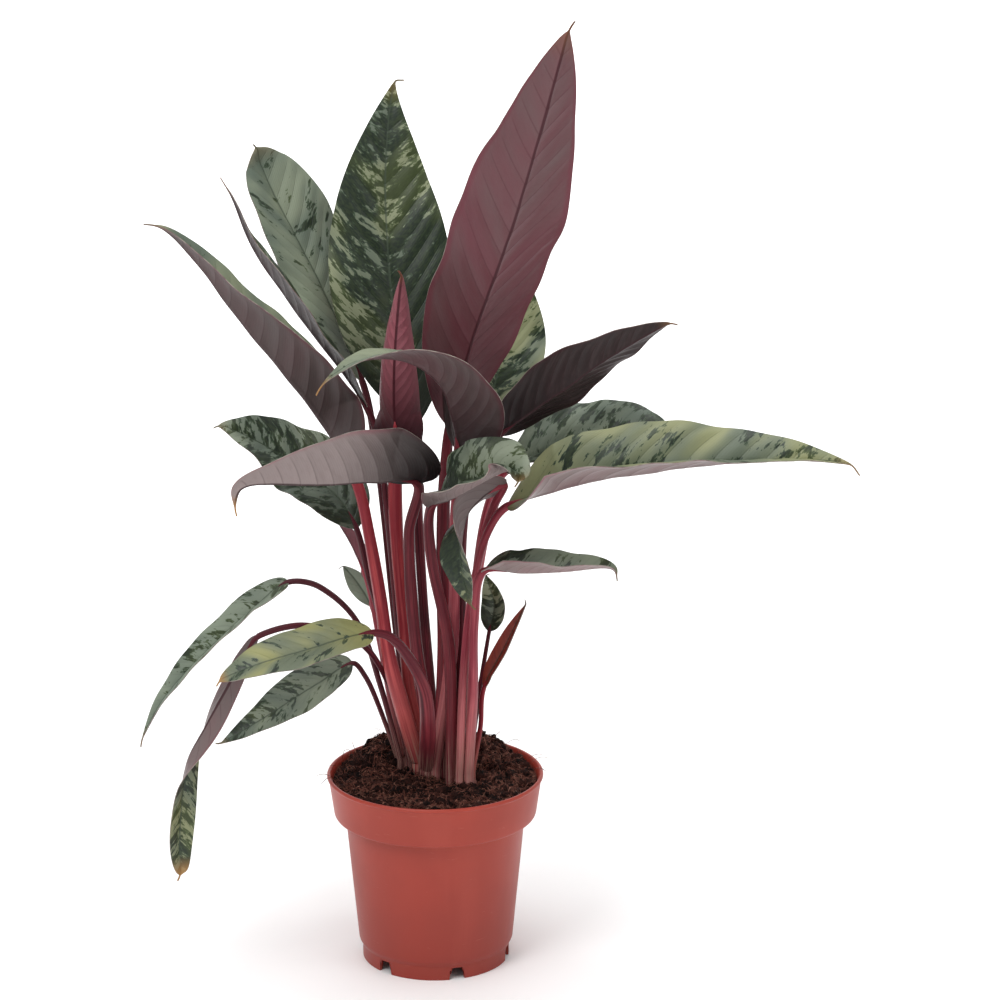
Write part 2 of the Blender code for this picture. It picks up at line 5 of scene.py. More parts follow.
import bpy
import numpy as np
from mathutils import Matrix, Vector


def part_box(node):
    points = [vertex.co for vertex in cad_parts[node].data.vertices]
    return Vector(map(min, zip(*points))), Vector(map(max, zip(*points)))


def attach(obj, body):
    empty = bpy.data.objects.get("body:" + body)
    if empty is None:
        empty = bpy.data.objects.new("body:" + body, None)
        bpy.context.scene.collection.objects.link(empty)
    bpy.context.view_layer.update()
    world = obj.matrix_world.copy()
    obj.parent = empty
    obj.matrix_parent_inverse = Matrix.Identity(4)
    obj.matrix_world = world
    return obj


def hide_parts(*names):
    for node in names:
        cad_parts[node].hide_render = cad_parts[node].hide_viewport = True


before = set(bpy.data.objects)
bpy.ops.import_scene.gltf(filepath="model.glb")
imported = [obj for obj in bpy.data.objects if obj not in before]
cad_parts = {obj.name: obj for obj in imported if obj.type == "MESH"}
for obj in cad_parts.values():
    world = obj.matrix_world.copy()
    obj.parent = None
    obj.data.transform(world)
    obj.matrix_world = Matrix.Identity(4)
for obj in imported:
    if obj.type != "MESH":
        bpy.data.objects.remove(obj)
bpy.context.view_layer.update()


# ------------------------------------------------------------------ floor, light and camera
# A pale sweep of card under the plant and a white tent of light round it. A soft box hangs over
# it, a key lamp stands high at the front left with a weaker one opposite, and one washes the sweep.

def linear(red, green, blue):
    """A screen colour, 0 to 255, as the light it stands for: ((c + 0.055) / 1.055) to the 2.4."""
    c = np.array([red, green, blue]) / 255
    return tuple(np.where(c <= 0.04045, c / 12.92, ((c + 0.055) / 1.055) ** 2.4))


def quads(rows, columns, around=False):
    """The four corners of each cell of a grid of points numbered row by row. A grid that goes
    around joins its last column to its first."""
    across = np.arange(columns if around else columns - 1)
    low = np.arange(rows - 1)[:, None] * columns
    corner, beside = low + across, low + (across + 1) % columns
    return np.stack([corner, beside, beside + columns, corner + columns], axis=-1).reshape(-1, 4)


def add_mesh(name, points, faces, materials, which=None, crease=None):
    """One object of these points and faces, turned outwards if its volume comes out negative.
    which is each face's material number, and crease the angle over which an edge is sharp."""
    points = np.asarray(points, float).reshape(-1, 3)
    faces = [np.asarray(some) for some in faces]
    volume = 0.0
    for some in faces:
        p = points[some]
        centre = points.mean(axis=0)
        fan = np.cross(p[:, 1:-1] - centre, p[:, 2:] - centre)
        volume += ((p[:, :1] - centre) * fan).sum()
    if volume < 0:
        faces = [some[:, ::-1] for some in faces]
    mesh = bpy.data.meshes.new(name)
    mesh.from_pydata(points, [], [face for some in faces for face in some.tolist()])
    for material in materials:
        mesh.materials.append(material)
    if which is not None:
        mesh.polygons.foreach_set("material_index", np.asarray(which, np.int32))
    mesh.shade_smooth()
    if crease:
        mesh.set_sharp_from_angle(angle=math.radians(crease))
    thing = bpy.data.objects.new(name, mesh)
    bpy.context.scene.collection.objects.link(thing)
    return thing


def add_node(tree, kind, sockets=(), **settings):
    """A shader node. sockets maps each input to a number, a colour or another node's output."""
    made = tree.nodes.new("ShaderNode" + kind)
    for setting, value in settings.items():
        setattr(made, setting, value)
    for socket, value in dict(sockets).items():
        if isinstance(value, bpy.types.NodeSocket):
            tree.links.new(value, made.inputs[socket])
        else:
            made.inputs[socket].default_value = value
    return made


def noise(tree, place, scale, detail=3.0, rough=0.5, distort=0.0):
    """Cloudy noise from about 0.25 to 0.75 round 0.5, with this many patches to the unit."""
    sockets = {"Vector": place, "Scale": scale, "Detail": detail, "Roughness": rough,
               "Distortion": distort}
    return add_node(tree, "TexNoise", sockets).outputs["Fac"]


def stretched(tree, place, scale, shift=(0, 0, 0)):
    """The place times the scale plus the shift, for noise that is longer one way."""
    sockets = {"Vector": place, "Location": shift, "Scale": scale}
    return add_node(tree, "Mapping", sockets).outputs[0]


def ease(tree, value, low, high, start=0.0, end=1.0):
    """Goes smoothly from start to end as the value goes from low to high."""
    sockets = {"Value": value, "From Min": low, "From Max": high, "To Min": start, "To Max": end}
    return add_node(tree, "MapRange", sockets, interpolation_type="SMOOTHSTEP").outputs[0]


def sums(tree, operation, first, second=0.0, third=0.0):
    """One step of arithmetic."""
    return add_node(tree, "Math", {0: first, 1: second, 2: third}, operation=operation).outputs[0]


def shade(tree, share, first, second):
    """The first colour where the share is 0, the second where it is 1."""
    colours = [(*c, 1) if isinstance(c, tuple) and len(c) == 3 else c for c in (first, second)]
    sockets = {0: share, 6: colours[0], 7: colours[1]}
    return add_node(tree, "Mix", sockets, data_type="RGBA").outputs[2]


def new_material(name, **constants):
    """A material with its tree and its Principled shader, whose plain sockets are set here."""
    material = bpy.data.materials.new(name)
    material.use_nodes = True
    tree = material.node_tree
    shader = tree.nodes["Principled BSDF"]
    for socket, value in constants.items():
        shader.inputs[socket.replace("_", " ")].default_value = value
    return material, tree, shader


FLOOR_HALF, SWEEP_RISE = 6.0, 4.0
along_floor = np.linspace(-1, 1, 41)
sweep_x, sweep_y = np.meshgrid(along_floor * FLOOR_HALF, along_floor * FLOOR_HALF)
sweep_z = SWEEP_RISE * np.clip((sweep_y - 2) / 4, 0, 1) ** 2
card, tree, shader = new_material("pale_card", Roughness=0.9)
cloud = noise(tree, add_node(tree, "TexCoord").outputs["Object"], 3.0)
tree.links.new(shade(tree, cloud, linear(253, 253, 253), linear(255, 255, 255)), shader.inputs[0])
floor = add_mesh("floor", np.stack([sweep_x, sweep_y, sweep_z], axis=-1), [quads(41, 41)], [card])
floor.data.flip_normals()

tent = bpy.data.worlds.new("tent")
tent.use_nodes = True
tent.node_tree.nodes["Background"].inputs["Color"].default_value = (1, 1, 1, 1)
tent.node_tree.nodes["Background"].inputs["Strength"].default_value = 0.52
bpy.context.scene.world = tent
bpy.context.scene.view_settings.view_transform = "Standard"


def add_lamp(name, place, aim, size, watts):
    """A square area lamp that points from its place to its aim."""
    lamp = bpy.data.lights.new(name, "AREA")
    lamp.energy, lamp.size = watts, size
    holder = bpy.data.objects.new(name, lamp)
    bpy.context.scene.collection.objects.link(holder)
    way = Vector(aim) - Vector(place)
    holder.matrix_world = way.to_track_quat("-Z", "Y").to_matrix().to_4x4()
    holder.location = place


add_lamp("key_lamp", (-0.9, -1.3, 1.9), (0, 0, 0.25), 0.8, 17)
add_lamp("fill_lamp", (1.4, -1.1, 1.0), (0, 0, 0.2), 0.8, 3.5)
add_lamp("top_lamp", (-0.1, -0.3, 2.2), (0, 0, 0.2), 1.2, 21)
add_lamp("sweep_lamp", (0, 1.6, 2.6), (0, 4.2, 0.6), 2.5, 105)

view = bpy.data.cameras.new("camera")
view.lens, view.sensor_width = 144, 36
camera = bpy.data.objects.new("camera", view)
camera.location = (0.036, -2.085, 0.891)
camera.rotation_euler = (math.radians(73.3), 0, 0)
bpy.context.scene.collection.objects.link(camera)
bpy.context.scene.camera = camera


# ------------------------------------------------------------------ nursery pot
# A thin pot of terracotta-coloured polypropylene, injection moulded in one go. It has a deep
# collar to grip, a rolled bead at the rim, and a foot ring with six notches that let water out.

POT_OUTLINE = np.array([
    (0.0002, 0.0095), (0.0415, 0.0095), (0.0485, 0.0855), (0.0545, 0.0870), (0.0572, 0.1058),
    (0.0582, 0.1080), (0.0594, 0.1081), (0.0600, 0.1072), (0.0600, 0.1064), (0.0590, 0.1056),
    (0.0562, 0.0856), (0.0554, 0.0840), (0.0502, 0.0838), (0.0497, 0.0815), (0.0430, 0.0110),
    (0.0410, 0.0080), (0.0410, 0.0), (0.0395, 0.0), (0.0395, 0.0080), (0.0110, 0.0080),
    (0.0110, 0.0), (0.0002, 0.0),
])
ROUNDING = np.array([0, 20, 12, 12, 3, 6, 4, 4, 4, 6, 6, 12, 8, 12, 12, 8, 3, 3, 4, 4, 3, 0]) * 1e-4
NOTCH_FIRST, NOTCH_TALL, NOTCH_HALF = math.radians(-72.5), 0.007, (0.0025, 0.004)
DRAIN_RADIUS, DRAIN_CIRCLE = 0.0045, 0.025


def rounded(outline, radii, steps=4, spacing=0.003):
    """The outline with each corner swapped for a small parabola that starts and ends one radius
    from it, and the straight runs between divided evenly."""
    before = outline - np.roll(outline, 1, axis=0)
    after = np.roll(outline, -1, axis=0) - outline
    reach = radii[:, None]
    start = outline - before / np.linalg.norm(before, axis=1)[:, None] * reach
    end = outline + after / np.linalg.norm(after, axis=1)[:, None] * reach
    s = np.linspace(0, 1, steps + 1)[:, None, None]
    bends = ((1 - s) ** 2 * start + 2 * s * (1 - s) * outline + s**2 * end).transpose(1, 0, 2)
    path = np.concatenate([outline[:1], *bends[1:-1], outline[-1:]])
    apart = np.linalg.norm(np.diff(path, axis=0), axis=1)
    pieces = [np.linspace(a, b, max(1, round(gap / spacing)), endpoint=False)
              for a, b, gap in zip(path, path[1:], apart)]
    return np.concatenate([*pieces, path[-1:]])


def pot_points(steps=288):
    """The outline turned about z. Below the notch height, a point of the foot ring inside a
    notch is lifted to the notch's roof, so the ring's lower edge steps up and down. The wall
    is out of round by a sixth of a millimetre, as a thin moulding is."""
    outline = rounded(POT_OUTLINE, ROUNDING)
    angles = np.arange(steps) * math.tau / steps
    radius = np.repeat(outline[:, :1], steps, axis=1)
    height = np.repeat(outline[:, 1:], steps, axis=1)
    angle = np.repeat(angles[None], len(outline), axis=0)
    turn = (angle - NOTCH_FIRST + math.pi / 6) % (math.pi / 3) - math.pi / 6
    half = np.interp(height, [0, NOTCH_TALL], NOTCH_HALF[::-1])
    inside = (np.abs(turn) * 0.040 < half) & (radius > 0.039) & (radius < 0.0415)
    height = np.where(inside, np.maximum(height, NOTCH_TALL), height)
    wobble = 1 + 0.0028 * np.sin(2 * angle + 0.6) * np.clip(height / 0.108, 0, 1)
    return np.stack([radius * wobble * np.cos(angle), radius * wobble * np.sin(angle), height], -1)


pot_plastic, tree, shader = new_material("pot_plastic_moulded", Specular_IOR_Level=0.4)
place = add_node(tree, "TexCoord").outputs["Object"]
up = add_node(tree, "SeparateXYZ", {0: place}).outputs[2]
blotch = noise(tree, place, 22.0, 4.0)
streak = noise(tree, stretched(tree, place, (60, 60, 5)), 1.0)
peel = noise(tree, place, 1500.0, 2.0)
scuff = noise(tree, stretched(tree, place, (90, 90, 420)), 1.0, 5.0, 0.7)
# Painted shade: the pot's colour darkens towards its foot, where less light reaches it.
colour = shade(tree, ease(tree, up, 0.0, 0.104), linear(145, 49, 36), linear(167, 59, 44))
colour = shade(tree, ease(tree, blotch, 0.35, 0.65, 0.0, 0.35), colour, linear(138, 52, 42))
colour = shade(tree, ease(tree, streak, 0.5, 0.75, 0.0, 0.25), colour, linear(172, 72, 58))
colour = shade(tree, ease(tree, scuff, 0.62, 0.72, 0.0, 0.22), colour, linear(188, 104, 90))
tree.links.new(colour, shader.inputs["Base Color"])
tree.links.new(ease(tree, blotch, 0.3, 0.7, 0.40, 0.50), shader.inputs["Roughness"])
relief = sums(tree, "MULTIPLY_ADD", peel, 0.35, sums(tree, "MULTIPLY", streak, 0.8))
bump = add_node(tree, "Bump", {"Strength": 0.12, "Distance": 0.0004, "Height": relief})
tree.links.new(bump.outputs[0], shader.inputs["Normal"])

pot_grid = pot_points()
rows, steps = pot_grid.shape[:2]
ends = [np.arange(steps)[None, ::-1], (rows - 1) * steps + np.arange(steps)[None]]
pot = add_mesh("moulded_pot", pot_grid, [quads(rows, steps, around=True), *ends], [pot_plastic],
               crease=50)

drain_turn = np.arange(4) * math.tau / 4 + math.tau / 8
drain_ring = np.arange(32) * math.tau / 32
drain_x = DRAIN_CIRCLE * np.cos(drain_turn)[:, None] + DRAIN_RADIUS * np.cos(drain_ring)
drain_y = DRAIN_CIRCLE * np.sin(drain_turn)[:, None] + DRAIN_RADIUS * np.sin(drain_ring)
drains = np.stack([np.stack([drain_x, drain_y, np.full_like(drain_x, z)], -1) for z in (0.006, 0.012)], 1)
drain_faces = (np.arange(4) * 64)[:, None, None] + quads(2, 32, around=True)
drain_caps = (np.arange(4) * 64)[:, None] + np.stack([np.arange(32)[::-1]])
cutter = add_mesh("drains", drains, [drain_faces.reshape(-1, 4), drain_caps, drain_caps[:, ::-1] + 32], [])
cut = pot.modifiers.new("drains", "BOOLEAN")
cut.object, cut.solver = cutter, "EXACT"
drilled = bpy.data.meshes.new_from_object(pot.evaluated_get(bpy.context.evaluated_depsgraph_get()))
pot.modifiers.clear()
pot.data = drilled
bpy.data.objects.remove(cutter)
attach(pot, "root")
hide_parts("nursery_pot")


# ------------------------------------------------------------------ potting mix
# Wet coir: dark crumbs and pith pressed into the pot by hand, higher in two clumps at the back,
# with a felt of loose brown fibres on top and a few that have fallen over the rim.

SOIL_LEVEL, HOLLOW_RADIUS = 0.1035, 0.0566
random = np.random.default_rng(7)


def waves(count, shortest, longest):
    """Random sine waves: wave numbers on random headings, and starting angles."""
    lengths = random.uniform(shortest, longest, count)
    turn = random.uniform(0, math.tau, count)
    return np.stack([np.cos(turn), np.sin(turn)]) * math.tau / lengths, random.uniform(0, math.tau, count)


CLOD_WAVES, CRUMB_WAVES = waves(26, 0.008, 0.020), waves(60, 0.0022, 0.006)


def soil_top(x, y):
    """Soil level, plus two round clumps towards the back, a rise to the back between them, and
    clods and crumbs, which are sums of sine waves cubed a little so that gaps are narrow."""
    height = 0.003 * np.clip(y / 0.06, 0, 1)
    for turn in (math.radians(133), math.radians(53)):
        apart = np.hypot(x - 0.0444 * math.cos(turn), y - 0.0444 * math.sin(turn))
        height = height + 0.0095 * np.exp(-((apart / 0.0156) ** 2))
    for (number, start), tall in ((CLOD_WAVES, 0.0017), (CRUMB_WAVES, 0.0007)):
        lump = np.sin(x[..., None] * number[0] + y[..., None] * number[1] + start).sum(axis=-1)
        height = height + tall * np.tanh(lump / math.sqrt(len(start)) * 1.2)
    edge = np.clip((HOLLOW_RADIUS - np.hypot(x, y)) / 0.006, 0, 1)
    return SOIL_LEVEL + height * edge**0.5


def mix_points(rings=150, steps=360):
    """Rings from the pole on the floor, out to the wall, up it and in over the top to a pole."""
    wall = np.array([(0.0003, 0.0098), (0.0412, 0.0098), (0.0482, 0.0858), (0.0542, 0.0873)])
    angles = np.arange(steps) * math.tau / steps
    inwards = HOLLOW_RADIUS * np.linspace(1, 0.004, rings)
    radius = np.concatenate([wall[:, 0], inwards])[:, None]
    x, y = radius * np.cos(angles), radius * np.sin(angles)
    z = np.concatenate([np.repeat(wall[:, 1:], steps, axis=1), soil_top(x[4:], y[4:])])
    return np.stack([x, y, z], axis=-1)


coir, tree, shader = new_material("coir_crumb", Specular_IOR_Level=0.15)
place = add_node(tree, "TexCoord").outputs["Object"]
clod = noise(tree, place, 130.0, 5.0, 0.65)
crumb = noise(tree, place, 900.0, 4.0, 0.7)
colour = shade(tree, ease(tree, clod, 0.40, 0.62), linear(10, 4, 4), linear(54, 28, 23))
colour = shade(tree, ease(tree, crumb, 0.52, 0.68, 0.0, 0.8), colour, linear(92, 56, 48))
tree.links.new(colour, shader.inputs["Base Color"])
tree.links.new(ease(tree, crumb, 0.3, 0.7, 0.75, 0.98), shader.inputs["Roughness"])
bump = add_node(tree, "Bump", {"Strength": 0.9, "Distance": 0.0012, "Height": sums(tree, "ADD", clod, crumb)})
tree.links.new(bump.outputs[0], shader.inputs["Normal"])

mix_grid = mix_points()
rows, steps = mix_grid.shape[:2]
ends = [np.arange(steps)[None, ::-1], (rows - 1) * steps + np.arange(steps)[None]]
mix = add_mesh("coir_bed", mix_grid, [quads(rows, steps, around=True), *ends], [coir])
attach(mix, "root")
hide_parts("potting_mix")


def thread_points(places, radius, sides=3):
    """A thin tube round each thread: places is threads by points by 3. Each point's ring lies
    across the thread's way, and the radius narrows to a third at both ends."""
    way = np.gradient(places, axis=1)
    way /= np.linalg.norm(way, axis=-1, keepdims=True) + 1e-12
    side = np.cross(way, [0.31, 0.17, 0.93])
    side /= np.linalg.norm(side, axis=-1, keepdims=True) + 1e-12
    other = np.cross(way, side)
    s = np.linspace(0, 1, places.shape[1])
    taper = (1 / 3 + 2 / 3 * np.sin(math.pi * s) ** 0.5)[None, :, None, None]
    turn = (np.arange(sides) * math.tau / sides)[None, None, :, None]
    ring = side[:, :, None] * np.cos(turn) + other[:, :, None] * np.sin(turn)
    return places[:, :, None] + ring * taper * radius[:, None, None, None]


def thread_faces(threads, points, sides=3):
    """The quads round each tube, and the two end caps of each."""
    first = np.arange(threads) * points * sides
    wall = (first[:, None, None] + quads(points, sides, around=True)).reshape(-1, 4)
    cap = first[:, None] + np.arange(sides)[::-1]
    return [wall, cap, first[:, None] + (points - 1) * sides + np.arange(sides)]


def loose_threads(count, bends=8):
    """Arcs that lie on the bed: each starts at a random place and goes on a random heading that
    turns steadily, and its middle or far end lifts off the bed by a few times its radius."""
    spread = HOLLOW_RADIUS * np.sqrt(random.uniform(0, 0.97, count))
    turn = random.uniform(0, math.tau, count)
    heading = random.uniform(0, math.tau, count)[:, None]
    curl = random.normal(0, 2.6, count)[:, None]
    long = random.gamma(3.0, 0.0024, count)[:, None] + 0.002
    s = np.linspace(0, 1, bends)[None]
    way = heading + curl * s
    step = long / (bends - 1)
    x = (spread * np.cos(turn))[:, None] + np.cumsum(np.cos(way), axis=1) * step
    y = (spread * np.sin(turn))[:, None] + np.cumsum(np.sin(way), axis=1) * step
    out = np.hypot(x, y)
    keep = np.minimum(1, (HOLLOW_RADIUS - 0.0004) / out)
    x, y = x * keep, y * keep
    tall = random.gamma(1.3, 0.00075, count)[:, None]
    share = random.uniform(0.5, 1.0, count)[:, None]
    arch = tall * np.sin(math.pi * s * share)
    return np.stack([x, y, soil_top(x, y) + 0.0002 + arch], axis=-1)


def stray_threads(ends, bends=8):
    """A thread from each first end to its second, bowed up and aside by the given amounts."""
    ends = np.array(ends) / 1000
    s = np.linspace(0, 1, bends)[None, :, None]
    bow = np.sin(math.pi * s) * ends[:, None, 6:9]
    return ends[:, None, :3] * (1 - s) + ends[:, None, 3:6] * s + bow


STRAYS = [
    (-56, -6, 106, -66, -10, 109, 0, 0, 2), (-54, -12, 106, -63, -22, 108, 0, 2, 3),
    (-52, 2, 107, -60, 3, 110, 1, 0, 2), (52, 14, 107, 64, 18, 109, 0, 1, 2),
    (50, 20, 107, 60, 26, 108, 1, 0, 2), (54, 4, 107, 62, 2, 107, 0, 0, 2),
    (-26, 40, 112, -38, 44, 116, 0, 2, 3), (-24, 30, 112, -20, 34, 117, -2, 0, 2),
    (30, 38, 113, 36, 42, 117, 2, 0, 1), (24, 34, 112, 34, 30, 116, -1, 0, 2),
    (38, 30, 112, 48, 30, 114, 1, 0, 3), (-34, 26, 112, -30, 20, 116, 1, 1, 3),
    (-8, -54, 106, 4, -58, 109, 0, 0, 2), (12, -52, 106, 22, -54, 108, 0, -1, 2),
    (-43, 14, 109, -47, 16, 121, 0, 0, 0), (-43, 14, 109, -42, 18, 116, 1, 0, 1),
]

coir_thread, tree, shader = new_material("coir_thread", Specular_IOR_Level=0.25)
place = add_node(tree, "TexCoord").outputs["Object"]
patch = noise(tree, place, 260.0, 3.0, 0.6)
colour = shade(tree, ease(tree, patch, 0.36, 0.60), linear(64, 30, 24), linear(132, 82, 68))
bleached = ease(tree, noise(tree, place, 480.0), 0.54, 0.66, 0.0, 0.75)
colour = shade(tree, bleached, colour, linear(190, 140, 120))
tree.links.new(colour, shader.inputs["Base Color"])
tree.links.new(ease(tree, patch, 0.3, 0.7, 0.6, 0.8), shader.inputs["Roughness"])

for name, places, thin, thick in (
    ("coir_felt", loose_threads(4200), 0.00008, 0.00020),
    ("coir_strays", stray_threads(STRAYS), 0.00012, 0.00022),
):
    radius = random.uniform(thin, thick, len(places))
    felt = add_mesh(name, thread_points(places, radius), thread_faces(*places.shape[:2]), [coir_thread])
    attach(felt, "root")


def crumb_points(count, sides=6, bands=4):
    """Small lumps scattered on the bed: each is a ball of bands by sides with its radius varied
    by a sine of its own for every direction, squashed a little and half sunk."""
    spread = HOLLOW_RADIUS * np.sqrt(random.uniform(0, 0.95, count))
    turn = random.uniform(0, math.tau, count)
    size = random.gamma(3.0, 0.00035, count) + 0.0004
    tilt = np.linspace(0.12, math.pi - 0.12, bands)[None, :, None]
    ring = (np.arange(sides) * math.tau / sides)[None, None]
    start = random.uniform(0, math.tau, (count, 2))[:, :, None, None]
    reach = size[:, None, None] * (1 + 0.3 * np.sin(3 * ring + start[:, 0]) * np.sin(2 * tilt + start[:, 1]))
    x = spread * np.cos(turn)
    y = spread * np.sin(turn)
    keep = np.minimum(1, (HOLLOW_RADIUS - 0.0025) / np.hypot(x, y))
    x, y = x * keep, y * keep
    z = soil_top(x, y) + 0.2 * size
    flat = reach * np.sin(tilt)
    ball = [flat * np.cos(ring), flat * np.sin(ring), 0.8 * reach * np.cos(tilt)]
    return np.stack([b + c[:, None, None] for b, c in zip(ball, (x, y, z))], axis=-1)


crumbs = add_mesh("coir_crumbs", crumb_points(1500), thread_faces(1500, 4, 6), [coir])
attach(crumbs, "root")


# ------------------------------------------------------------------ crowns
# Three short growing points, where the stalks come out of the mix. Each is pale, fleshy tissue
# with the dry brown remains of old leaf bases round it.

CROWN_TOP = 0.1065


def crown_points(centre, radius, rings=28, steps=96):
    """A domed plug: the radius is the sine of the share down it to the power 0.45, widest half
    way down and narrower towards both ends, with eight shallow lobes round it."""
    s = np.linspace(0.02, 0.98, rings)[:, None]
    turn = np.arange(steps)[None] * math.tau / steps
    reach = radius * np.sin(math.pi * s) ** 0.45 * (1 + 0.05 * np.cos(8 * turn + 3 * s))
    height = CROWN_TOP + 0.0035 - 0.019 * s
    x, y = centre[0] + reach * np.cos(turn), centre[1] + reach * np.sin(turn)
    return np.stack([x, y, np.broadcast_to(height, x.shape)], axis=-1)


crown_tissue, tree, shader = new_material("crown_flesh")
place = add_node(tree, "TexCoord").outputs["Object"]
ribs = noise(tree, stretched(tree, place, (500, 500, 60)), 1.0, 4.0)
colour = shade(tree, ease(tree, ribs, 0.35, 0.6), linear(66, 34, 30), linear(150, 96, 88))
tree.links.new(colour, shader.inputs["Base Color"])
tree.links.new(ease(tree, ribs, 0.3, 0.7, 0.5, 0.8), shader.inputs["Roughness"])
bump = add_node(tree, "Bump", {"Strength": 0.6, "Distance": 0.0006, "Height": ribs})
tree.links.new(bump.outputs[0], shader.inputs["Normal"])

# Each crown's centre and radius from its solid, its ring's first angle, and its leaves: the
# first stands in the middle, the others go anticlockwise round the ring.
CROWNS = {
    "middle": (30, ["level_left", "back_right", "tall_back", "rolled_young",
                    "front_left", "arching_front", "tall_front"]),
    "left": (0, ["short_left", "edgewise_left", "back_left", "tiny_left", "winged_left",
                 "under_left", "low_left", "hanging_left", "long_left"]),
    "right": (0, ["hanging_right", "red_lance", "small_right", "mid_right", "upper_right",
                  "folded_centre", "long_right", "low_right"]),
}
feet = {}
for which, (start, leaves) in CROWNS.items():
    low, high = (np.array(corner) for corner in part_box(which + "_crown"))
    centre, radius = (low + high)[:2] / 2, (high - low)[0] / 2
    grid = crown_points(centre, radius)
    rows, steps = grid.shape[:2]
    ends = [np.arange(steps)[None, ::-1], (rows - 1) * steps + np.arange(steps)[None]]
    plug = add_mesh(which + "_growing_point", grid, [quads(rows, steps, around=True), *ends], [crown_tissue])
    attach(plug, "root")
    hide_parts(which + "_crown")
    feet[leaves[0]] = np.array([*centre, CROWN_TOP])
    for index, leaf in enumerate(leaves[1:]):
        turn = math.radians(start) + index * math.tau / (len(leaves) - 1)
        out = (radius - 0.0026) * np.array([math.cos(turn), math.sin(turn)])
        feet[leaf] = np.array([*(centre + out), CROWN_TOP])
